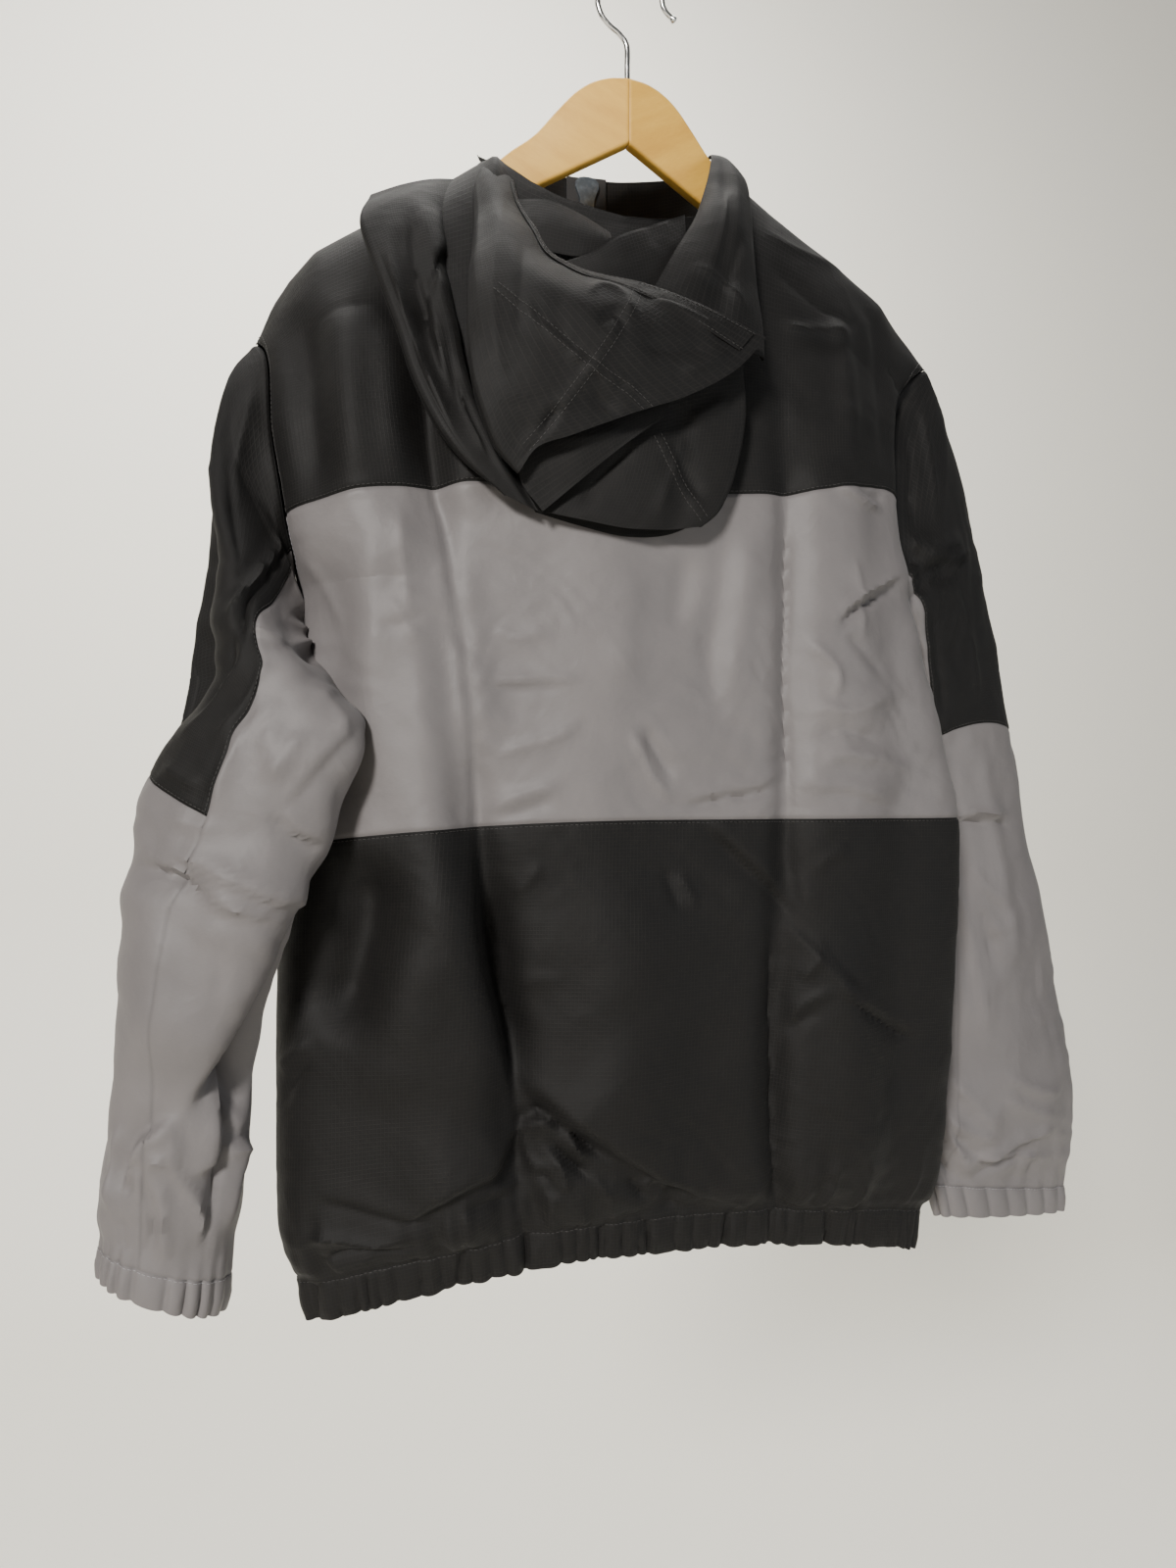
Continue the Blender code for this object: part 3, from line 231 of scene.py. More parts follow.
def crease_field(x, z, rows, waver=0.25):
    """How far all the creases of a table move the cloth outwards at (x, z)."""
    total = np.zeros_like(x)
    ripple = noise(np.stack([x, z * 0, z], axis=-1), 13.0, 5) * waver
    for push, width, step, reach, *path in rows:
        path = np.array(path, dtype=float)
        span = max(width * 3, reach * 2.2) + 2
        low, high = path.min(axis=0) - span, path.max(axis=0) + span
        near = (x > low[0]) & (x < high[0]) & (z > low[1]) & (z < high[1])
        if not near.any():
            continue
        path = along(path, np.linspace(0, len(path) - 1, 3 * len(path) - 2))
        px, pz = x[near], z[near]
        best, side, at = np.full_like(px, 1e9), np.ones_like(px), np.zeros_like(px)
        length = 0.0
        for (ax, az), (bx, bz) in zip(path[:-1], path[1:]):
            run_x, run_z = bx - ax, bz - az
            segment = math.hypot(run_x, run_z)
            t = np.clip(((px - ax) * run_x + (pz - az) * run_z) / segment ** 2, 0, 1)
            dx, dz = px - ax - run_x * t, pz - az - run_z * t
            away = np.hypot(dx, dz)
            closer = away < best
            best = np.where(closer, away, best)
            side = np.where(closer, np.sign(run_x * dz - run_z * dx), side)
            at = np.where(closer, length + t * segment, at)
            length += segment
        fade = smooth_step(np.minimum(at, length - at) / (0.3 * length))
        signed = best * side + ripple[near]
        field = push * (crest(signed, width) if width < SOFT_FROM else hump(signed, width))
        if reach:
            field = field + step * np.tanh(signed / width) * hump(signed, reach)
        total[near] += field * fade
    return total

# %% [markdown]
# The body is read in sections. A section has a left edge, a right edge and a face between them;
# `s` runs across it from -1 to 1, and `v` climbs the levels from the hem to the shoulders.
# Back and front have a table each above the underarm and share one below it.

# %% Body tables
SECTION_COLUMNS = "z_mid z_left z_right x_left x_right y_left y_right y_face"
BODY_LOWER = [  # level            mid   left  right  left  right  left right (back, front)
    ((-856, -890, -881, -212, 204, 0, -20), (-47, 40)),    # bottom of the hem casing
    ((-832, -865, -854, -217, 208, 0, -20), (-52, 44)),    # top of the hem casing
    ((-806, -837, -826, -229, 222, 3, -20), (-64, 56)),    # cloth blousing over the elastic
    ((-742, -760, -752, -231, 230, 8, -20), (-66, 60)),
    ((-660, -672, -664, -230, 236, 13, -20), (-67, 62)),
    ((-579, -594, -580, -225, 237, 15, -20), (-66, 62)),   # lower cross seam
    ((-505, -516, -508, -219, 222, 18, -16), (-65, 60)),
    ((-428, -434, -426, -217, 204, 20, -8), (-62, 58)),    # underarm
]
BACK_UPPER = [
    (-369, -388, -384, -225, 199, 0, -4, -58),             # upper cross seam
    (-300, -335, -328, -233, 199, 5, 2, -50),
    (-236, -288, -281, -236, 214, 14, 20, -36),
    (-186, -270, -257, -243, 249, 27, 10, -28),            # shoulder and neck, behind the ridge
]
FRONT_UPPER = [
    (-372, -388, -384, -229, 211, 40, 34, 66),
    (-310, -335, -328, -236, 224, 50, 50, 74),
    (-245, -292, -278, -241, 240, 48, 52, 79),
    (-186, -270, -255, -243, 249, 44, 68, 78),
]
HEM, CASING_TOP, LOWER_SEAM, UNDERARM, UPPER_SEAM, HIGH, TOP = 0, 1, 5, 7, 8, 10, 11    # levels
SHOULDER_LEFT, SHOULDER_RIGHT = -243, 249
SECTION_POWER, DROOP_POWER, ARMHOLE_ROUND = 0.77, 2.2, 48
SHOULDER_SWELL = (3.0, 10.0)                 # outwards and upwards, over the hanger's arms
BODY = {
    "back": table(SECTION_COLUMNS, [a + (b[0],) for a, b in BODY_LOWER] + BACK_UPPER),
    "front": table(SECTION_COLUMNS, [a + (b[1],) for a, b in BODY_LOWER] + FRONT_UPPER),
}
RIDGE = table("x y_back z_back y_front z_front", [          # shoulder line and neck
    (-243, 33, -270, 33, -270), (-233, 37, -243, 37, -243), (-222, 38, -224, 38, -224),
    (-206, 36, -206, 36, -206), (-168, 30, -184, 30, -184), (-130, 23, -161, 23, -161),
    (-95, 17, -138, 17, -138), (-90, 4, -140, 25, -140), (-83, 1, -147, 34, -146),
    (-70, -9, -160, 50, -158),
    (-52, -19, -173, 64, -171), (-28, -27, -182, 76, -183), (-9, -31, -187, 77.5, -186),
    (12, -30, -186, 76.5, -185), (30, -27, -181, 74, -181.5), (52, -19, -172, 63, -170),
    (70, -9, -159, 50, -157), (83, 1, -146, 34, -145), (90, 4, -139, 25, -139), (95, 17, -137, 17, -137),
    (112, 20, -147, 20, -147), (153, 27, -168, 27, -168), (178, 31, -181, 31, -181),
    (211, 37, -199, 37, -199), (233, 39, -221, 39, -221), (249, 38, -240, 38, -240)])
ZIP_X = table("level x", [(HEM, -4), (LOWER_SEAM, -5), (UNDERARM, -6), (TOP, -9)])
ZIP_CHANNEL, ZIP_STRIP = 6.5, 21.0           # ends of the front's flat strip beside the zip
TAPE_INNER, TAPE_OUTER, TAPE_AIR, CAD_CLOTH = 0.5, 15.0, 1.0, 1.6
FOLD_LEVELS = (CASING_TOP, 3, LOWER_SEAM, UPPER_SEAM)
FOLD_COLUMNS = "x_hem x_low x_seam x_yoke depth width lift lift_at"
LIFT_WIDTH = 30
BACK_FOLDS = table(FOLD_COLUMNS, [
    (-82, -92, -116, -141, 11, 13, 9, -42),     # long valley, with a bulge on its left
    (89, 80, 92, 97, 8, 12, 5, 40),             # pressed crease, with a bulge on its right
    (22, 30, 20, 30, 2, 40, 4, -60),
    (175, 172, 180, 172, 4, 20, 0, 0),
])
FRONT_FOLDS = table(FOLD_COLUMNS, [
    (-120, -112, -104, -120, 9, 16, 6, -40),
    (86, 96, 104, 112, 8, 15, 6, 42),
    (-85, -82, -78, -80, 3, 20, 0, 0),
    (168, 170, 172, 168, 4, 20, 0, 0),
])

# %% Body surface
def body_slopes():
    """How the columns leave and reach each level; the armhole is round at the underarm."""
    slopes = {side: {name: tangents(rows[name], np.arange(len(rows[name]), dtype=float))
                     for name in rows} for side, rows in BODY.items()}
    result = {"back": {}, "front": {}}
    for name in BODY["back"]:
        shared = (slopes["back"][name][UNDERARM] + slopes["front"][name][UNDERARM]) / 2
        for side, sign in (("back", -1), ("front", 1)):
            leave = slopes[side][name].copy()
            arrive = leave.copy()
            if name != "y_face":
                leave[UNDERARM] = arrive[UNDERARM] = shared
            if name in ("y_left", "y_right"):
                rise = BODY[side][name][UNDERARM + 1] - BODY[side][name][UNDERARM]
                leave[UNDERARM] = rise * 1.3 + sign * ARMHOLE_ROUND
            result[side][name] = (leave, arrive)
    return result


BODY_SLOPES = body_slopes()


def body_base(side, s, v):
    """Body without folds. s runs from the left side seam (-1) to the right one (1), v up the levels."""
    rows = BODY[side]
    read = {name: along(rows[name], v, slopes=BODY_SLOPES[side][name]) for name in rows}
    across = power(np.sin(s * math.pi / 2), SECTION_POWER)
    bulge = power(np.maximum(np.cos(s * math.pi / 2), 0), SECTION_POWER)
    share = (across + 1) / 2
    x = read["x_left"] * (1 - share) + read["x_right"] * share
    y_edge = read["y_left"] * (1 - share) + read["y_right"] * share
    y = y_edge + (read["y_face"] - y_edge) * bulge
    z_edge = np.where(across < 0, read["z_left"], read["z_right"])
    z = read["z_mid"] + (z_edge - read["z_mid"]) * np.abs(across) ** DROOP_POWER
    top = np.clip((v - HIGH + 0.6) / (TOP - HIGH + 0.6), 0, 1) ** 1.8
    x_top = SHOULDER_LEFT * (1 - share) + SHOULDER_RIGHT * share
    y = y * (1 - top) + np.interp(x_top, RIDGE["x"], RIDGE["y_" + side]) * top
    z = z * (1 - top) + np.interp(x_top, RIDGE["x"], RIDGE["z_" + side]) * top
    round_arm = np.sin(math.pi * np.clip((TOP - v) / 1.1, 0, 1)) ** 0.7
    round_arm *= smooth_step((np.abs(x_top) - 80) / 12) * smooth_step((235 - np.abs(x_top)) / 30)
    y = y + (-1 if side == "back" else 1) * SHOULDER_SWELL[0] * round_arm
    z = z + SHOULDER_SWELL[1] * round_arm
    return np.stack([x, y, z], axis=-1)


def fold_push(side, x, v):
    """How far the large folds move the cloth outwards at (x, level)."""
    folds = BACK_FOLDS if side == "back" else FRONT_FOLDS
    push = np.zeros_like(x)
    for *line, depth, width, lift, lift_at in zip(*folds.values()):
        away = x - along(line, v, FOLD_LEVELS)
        push -= depth * hump(away, width)
        push += lift * hump(away - lift_at, LIFT_WIDTH)
    fade = smooth_step((v - 0.3) / 0.7) * smooth_step((TOP - 0.6 - v) / 2.4)
    return push * fade * (0.25 + 0.75 * smooth_step((v - CASING_TOP + 0.15) / 0.9))


def body(side, s, v):
    """Body with its large folds, and the direction that points out of the cloth."""
    base = body_base(side, s, v)
    out = facing(lambda a, b: body_base(side, a, b), s, v, 0.004, 0.02)
    out *= -1 if side == "front" else 1
    calm = smooth_step((1 - np.abs(s)) / 0.25)
    return base + out * (fold_push(side, base[..., 0], v) * calm)[..., None], out


def s_at(x, left, right):
    """The s of a place x on a section that runs from left to right."""
    return np.arcsin(power((x - left) / (right - left) * 2 - 1, 1 / SECTION_POWER)) * 2 / math.pi


def zip_s(side_step, v):
    """The s beside the zip, at a distance from its centre line."""
    rows, slopes = BODY["front"], BODY_SLOPES["front"]
    left = along(rows["x_left"], v, slopes=slopes["x_left"])
    right = along(rows["x_right"], v, slopes=slopes["x_right"])
    return s_at(along(ZIP_X["x"], v, ZIP_X["level"]) + side_step, left, right)


# %% [markdown]
# Every cloth piece is one grid of points. Its rows and columns stand closer at its borders, where
# a seam pulls the cloth in: a narrow groove at the seam, a small swell beside it, and a row of
# tiny puckers. The grid becomes a closed shell less than half a millimetre thick.

# %% Spacing and normals of a grid
SHELL = 0.45
GROOVE_DEPTH, GROOVE_WIDTH = 0.9, 1.3
SWELL_HEIGHT, SWELL_FROM_SEAM, SWELL_WIDTH = 0.28, 3.4, 1.8
PUCKER_HEIGHT, PUCKER_SIZE, PUCKER_REACH = 0.35, 7.0, 9
THREAD_LIFT, FAR = 0.12, 1e3
charts = {}


def spread(low, high, length, step, close=(0.5, 1.1, 1.9, 3.0)):
    """Places from low to high over `length` millimetres, closer together near both ends."""
    step *= FINE
    inner = np.linspace(close[-1], length - close[-1], max(int((length - 2 * close[-1]) / step), 2))
    places = np.concatenate([[0], close[:-1], inner, length - np.array(close[-2::-1]), [length]])
    return low + (high - low) * places / length


def normals_of(points, out, wrap=False):
    """Unit normals of a grid of points, on the side that `out` names."""
    if wrap:
        across = np.roll(points, -1, axis=1) - np.roll(points, 1, axis=1)
    else:
        across = np.gradient(points, axis=1)
    normal = np.cross(across, np.gradient(points, axis=0))
    normal /= np.maximum(np.linalg.norm(normal, axis=-1, keepdims=True), 1e-9)
    return normal * np.where(np.sum(normal * out, axis=-1, keepdims=True) < 0, -1, 1)


def run_lengths(points, axis):
    """The distance of each point from the first one along a row or a column."""
    step = np.linalg.norm(np.diff(points, axis=axis), axis=-1)
    zero = np.zeros_like(np.take(step, [0], axis=axis))
    return np.concatenate([zero, np.cumsum(step, axis=axis)], axis=axis)


def border_distances(points):
    """For each point its distance to the first row, last row, first column and last column."""
    down, across = run_lengths(points, 0), run_lengths(points, 1)
    return {"start": down, "end": down[-1:] - down, "left": across, "right": across[:, -1:] - across}


def seam_push(points, borders, groove=1.0):
    """The groove, the swell and the puckers of the cloth beside its seams."""
    push = np.zeros(points.shape[:2])
    distance = border_distances(points)
    for border in borders:
        away = distance[border]
        push -= groove * GROOVE_DEPTH * hump(away, GROOVE_WIDTH)
        push += groove * SWELL_HEIGHT * hump(away - SWELL_FROM_SEAM, SWELL_WIDTH)
        push += groove * PUCKER_HEIGHT * noise(points, PUCKER_SIZE, 11) * hump(away, PUCKER_REACH)
    return push


def surface_area(points, wrap):
    """The area of a grid of points in square millimetres."""
    if wrap:
        points = np.concatenate([points, points[:, :1]], axis=1)
    a = points[1:, 1:] - points[:-1, :-1]
    b = points[1:, :-1] - points[:-1, 1:]
    return float(np.linalg.norm(np.cross(a, b), axis=-1).sum() / 2)


# %% A shell from a grid of points
def faces_outwards(points, normal):
    """Whether rows and columns turn the same way as the outer normals."""
    row, column = points.shape[0] // 2, points.shape[1] // 2
    middle = points[row, column]
    beside, below = points[row, (column + 1) % points.shape[1]], points[row + 1, column]
    return np.cross(beside - middle, below - middle) @ normal[row, column] >= 0


def shell_faces(rows, columns, wrap, outwards):
    """The faces of the outer grid, of the inner one and of the rims between them."""
    count = rows * columns
    index = np.arange(count).reshape(rows, columns)
    if wrap:
        index = np.concatenate([index, index[:, :1]], axis=1)
    corners = [index[:-1, :-1], index[:-1, 1:], index[1:, 1:], index[1:, :-1]]
    quads = np.stack(corners, axis=-1).reshape(-1, 4)
    if not outwards:
        quads = quads[:, ::-1]
    faces = [quads, quads[:, ::-1] + count]
    for line in [index[0], index[-1][::-1]] + ([] if wrap else [index[::-1, 0], index[:, -1]]):
        a, b = line[:-1], line[1:]
        rim = np.stack([b, a, a + count, b + count], axis=-1)
        faces.append(rim if outwards else rim[:, ::-1])
    return np.concatenate(faces).tolist()


def add_chart(mesh, points):
    """Lay the piece flat: its UV map measures along its middle row and middle column, in metres."""
    rows, columns = points.shape[:2]
    across, down = run_lengths(points, 1)[rows // 2], run_lengths(points, 0)[:, columns // 2]
    chart = np.stack(np.meshgrid(across, down), axis=-1)
    chart = np.concatenate([chart.reshape(-1, 2)] * 2) * MM
    corner = np.zeros(len(mesh.loops), dtype=np.int32)
    mesh.loops.foreach_get("vertex_index", corner)
    layer = mesh.uv_layers.new(name="cloth")
    layer.data.foreach_set("uv", chart[corner].astype(np.float32).ravel())


def add_seam_distance(mesh, distances, borders, shape):
    """Store how far each point lies from the nearest sewn border; the finishes paint shade along the seams
    from it.
    """
    edge = np.full(shape, FAR)
    for border in borders:
        edge = np.minimum(edge, distances[border])
    # painted shade: the finishes darken the cloth near its seams by this distance
    seam_shade_distance = mesh.attributes.new("from_seam", "FLOAT", "POINT")
    seam_shade_distance.data.foreach_set("value", np.concatenate([edge.ravel()] * 2).astype(np.float32))


def shell(name, points, out, cloth, borders=(), wrap=False, thick=SHELL, groove=1.0):
    """Show a solid of the CAD model as a thin closed shell whose outer face is the grid."""
    if borders:
        points = points + out * seam_push(points, borders, groove)[..., None]
    normal = normals_of(points, out, wrap)
    both = np.concatenate([points.reshape(-1, 3), (points - normal * thick).reshape(-1, 3)]) * MM
    faces = shell_faces(*points.shape[:2], wrap, faces_outwards(points, normal))
    finish, slot = CLOTHS[cloth]
    item = add_mesh(name + "_cloth", both.tolist(), faces, finish, sharp_from=60)
    distance = border_distances(points)
    add_chart(item.data, points)
    add_seam_distance(item.data, distance, borders, points.shape[:2])
    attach(item, BODY_NAME)
    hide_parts(name)
    charts[name] = {"points": points, "normal": normal, "distance": distance,
                    "area": surface_area(points, wrap)}


# %% [markdown]
# Stitches are made later, all at once. Here each seam only notes where its thread runs: a line on
# the finished cloth, at a fixed distance from one border of a piece.

# %% Thread lines
threads = {"dark": [], "grey": []}


def sew(name, border, offset, colour, start=0.0, end=1.0):
    """Note a line of thread at a distance from one border of a piece."""
    chart = charts[name]
    distance = chart["distance"][border]
    points = chart["points"] + chart["normal"] * THREAD_LIFT
    if border in ("start", "end"):
        distance, points = distance.T, points.transpose(1, 0, 2)
    if border in ("end", "right"):
        distance, points = distance[:, ::-1], points[:, ::-1]
    line = []
    for away, run in zip(distance, points):
        at = min(int(np.searchsorted(away, offset)), len(away) - 1)
        share = (offset - away[at - 1]) / max(away[at] - away[at - 1], 1e-6) if at else 0.0
        line.append(run[max(at - 1, 0)] * (1 - share) + run[at] * share)
    line = np.array(line)
    threads[colour].append(line[int(start * len(line)):max(int(end * len(line)), 2)])

# %% [markdown]
# ## Finishes
# Charcoal ripstop is a plain weave of fine dull threads with a thicker thread every couple of
# millimetres, which shows as a faint grid. The pattern follows the piece's own flat chart, in
# metres, so that it runs with the cut of the cloth. Taffeta has no grid: its threads are finer
# than the eye sees, and what shows is a satin gloss broken by small crinkles.

# %% Node helpers
def feed(item, key, value):
    """Give an input of a node a value or the result of another node."""
    if isinstance(value, bpy.types.NodeSocket):
        item.id_data.links.new(value, item.inputs[key])
    else:
        item.inputs[key].default_value = value


def node_maker(tree):
    """A function that adds a node to the tree, with its settings and its inputs."""
    def node(kind, inputs=(), **settings):
        item = tree.nodes.new(kind)
        for key, value in settings.items():
            setattr(item, key, value)
        for key, value in dict(inputs).items():
            feed(item, key, value)
        return item
    return node


def finish_of(name, base, rough, build):
    """A material; `build` makes its nodes and says which inputs of the shader they feed."""
    mat = bpy.data.materials.new(name)
    mat.use_nodes = True
    shader = mat.node_tree.nodes["Principled BSDF"]
    feed(shader, "Base Color", (*base, 1))
    feed(shader, "Roughness", rough)
    for key, value in build(node_maker(mat.node_tree)).items():
        feed(shader, key, value)
    return mat


def maths(node, operation, a, b=0.0):
    """One Math node and its result."""
    return node("ShaderNodeMath", {0: a, 1: b}, operation=operation).outputs[0]


def summed(node, *parts):
    """The sum of several results, each with its weight."""
    total, *rest = [maths(node, "MULTIPLY", value, weight) for value, weight in parts]
    for part in rest:
        total = maths(node, "ADD", total, part)
    return total


def between(node, value, low, high, to_low=0.0, to_high=1.0):
    """Map a value from one range to another, held at its ends."""
    return node("ShaderNodeMapRange", {"Value": value, "From Min": low, "From Max": high,
                                       "To Min": to_low, "To Max": to_high}).outputs[0]


def mixed(node, amount, a, b):
    """Two colours mixed by an amount."""
    return node("ShaderNodeMix", {0: amount, 6: a, 7: b}, data_type="RGBA").outputs[2]


def object_place(node):
    return node("ShaderNodeTexCoord").outputs["Object"]


def chart_place(node):
    return node("ShaderNodeUVMap", uv_map="cloth").outputs[0]


def mapped(node, place, **inputs):
    """A place after a turn or a stretch."""
    return node("ShaderNodeMapping", {"Vector": place, **inputs}).outputs[0]


def grain(node, place, scale, detail, **more):
    """Smooth random values."""
    return node("ShaderNodeTexNoise", {"Vector": place, "Scale": scale, "Detail": detail, **more}).outputs[0]


def pressed(node, place, scale):
    """Thin pressed lines that run here and there, as in cloth that has been folded away."""
    return node("ShaderNodeTexNoise", {"Vector": place, "Scale": scale, "Detail": 3.0, "Roughness": 0.6,
                                       "Offset": 0.9, "Gain": 2.0, "Distortion": 0.4},
                noise_type="RIDGED_MULTIFRACTAL", normalize=False).outputs[0]


def relief(node, height, strength, distance):
    """The normal of a surface that these heights roughen."""
    return node("ShaderNodeBump", {"Height": height, "Strength": strength, "Distance": distance}).outputs[0]


def painted_seam_shade(node, colour, reach, least):
    """Painted shade: a colour that darkens within `reach` millimetres of a seam, where the seam's groove lies
    in shade.
    """
    away = node("ShaderNodeAttribute", attribute_name="from_seam").outputs["Fac"]
    share = between(node, away, 0.0, reach, least, 1.0)
    return node("ShaderNodeVectorMath", {0: colour, 3: share}, operation="SCALE").outputs[0]


# %% Charcoal ripstop
RIPSTOP_PITCH = 0.0024
CHARCOAL_LIGHT, CHARCOAL_DARK = (0.0085, 0.0076, 0.0071), (0.0026, 0.0024, 0.0023)


def ripstop_grid(node, chart):
    """1 on the thicker threads and 0 between them."""
    apart = node("ShaderNodeSeparateXYZ", {0: chart})
    lines = []
    for axis in ("X", "Y"):
        step = maths(node, "DIVIDE", apart.outputs[axis], RIPSTOP_PITCH)
        away = maths(node, "ABSOLUTE", maths(node, "SUBTRACT", maths(node, "FRACT", step), 0.5))
        lines.append(between(node, away, 0.36, 0.47))
    return maths(node, "MAXIMUM", *lines)


def ripstop(node):
    chart, place = chart_place(node), object_place(node)
    grid = ripstop_grid(node, chart)
    blotch, slub = grain(node, place, 22.0, 4.0), grain(node, chart, 900.0, 2.0)
    shade = summed(node, (blotch, 0.55), (grid, 0.55), (slub, 0.35))
    colour = mixed(node, between(node, shade, 0.35, 1.2), (*CHARCOAL_DARK, 1), (*CHARCOAL_LIGHT, 1))
    dull = maths(node, "ADD", blotch, maths(node, "MULTIPLY", grid, 0.1))
    height = summed(node, (grain(node, place, 160.0, 5.0), 0.55), (grid, 0.20), (slub, 0.10),
                    (pressed(node, place, 26.0), 0.5))
    # base colour with painted shade along the seams
    return {"Base Color": painted_seam_shade(node, colour, 2.5, 0.75),
            "Roughness": between(node, dull, 0.3, 0.8, 0.64, 0.74),
            "Normal": relief(node, height, 0.6, 0.0006),
            "Specular IOR Level": 0.22, "Sheen Weight": 0.01, "Sheen Roughness": 0.4}


CHARCOAL = finish_of("charcoal_ripstop_cloth", CHARCOAL_LIGHT, 0.55, ripstop)

# %% Grey taffeta
GREY_LIGHT, GREY_DARK = (0.146, 0.135, 0.134), (0.108, 0.100, 0.101)


def taffeta(node):
    chart, place = chart_place(node), object_place(node)
    blotch = grain(node, place, 14.0, 5.0)
    slub = grain(node, mapped(node, chart, Scale=(260.0, 2600.0, 1.0)), 1.0, 2.0)
    shade = summed(node, (blotch, 0.8), (slub, 0.3))
    colour = mixed(node, between(node, shade, 0.3, 0.85), (*GREY_DARK, 1), (*GREY_LIGHT, 1))
    facet = node("ShaderNodeTexVoronoi", {"Vector": place, "Scale": 60.0}, feature="F1").outputs[0]
    height = summed(node, (grain(node, place, 95.0, 5.0, Roughness=0.55), 0.7), (facet, 0.25),
                    (slub, 0.03), (pressed(node, place, 21.0), 0.55))
    # base colour with painted shade along the seams
    return {"Base Color": painted_seam_shade(node, colour, 2.0, 0.86),
            "Roughness": between(node, blotch, 0.3, 0.7, 0.54, 0.64),
            "Normal": relief(node, height, 0.6, 0.0008),
            "Specular IOR Level": 0.34, "Sheen Weight": 0.04, "Sheen Roughness": 0.35}


GREY = finish_of("grey_taffeta_cloth", GREY_LIGHT, 0.46, taffeta)

# %% Woven zip tape
RIBS, WARPS = 5200.0, 7800.0     # radians of each thread system in a metre of tape


def tape_weave(node):
    apart = node("ShaderNodeSeparateXYZ", {0: chart_place(node)})
    rib = maths(node, "SINE", maths(node, "MULTIPLY", apart.outputs["Y"], RIBS))
    warp = maths(node, "SINE", maths(node, "MULTIPLY", apart.outputs["X"], WARPS))
    weave = maths(node, "MULTIPLY", rib, warp)
    colour = mixed(node, between(node, weave, -1, 1), (0.012, 0.012, 0.013, 1), (0.030, 0.029, 0.030, 1))
    return {"Base Color": colour, "Normal": relief(node, weave, 0.5, 0.0003)}


TAPE = finish_of("zip_tape_weave", (0.02, 0.02, 0.021), 0.85, tape_weave)
CLOTHS = {"charcoal": (CHARCOAL, "charcoal_ripstop"), "grey": (GREY, "grey_taffeta"),
          "tape": (TAPE, "zip_tape")}

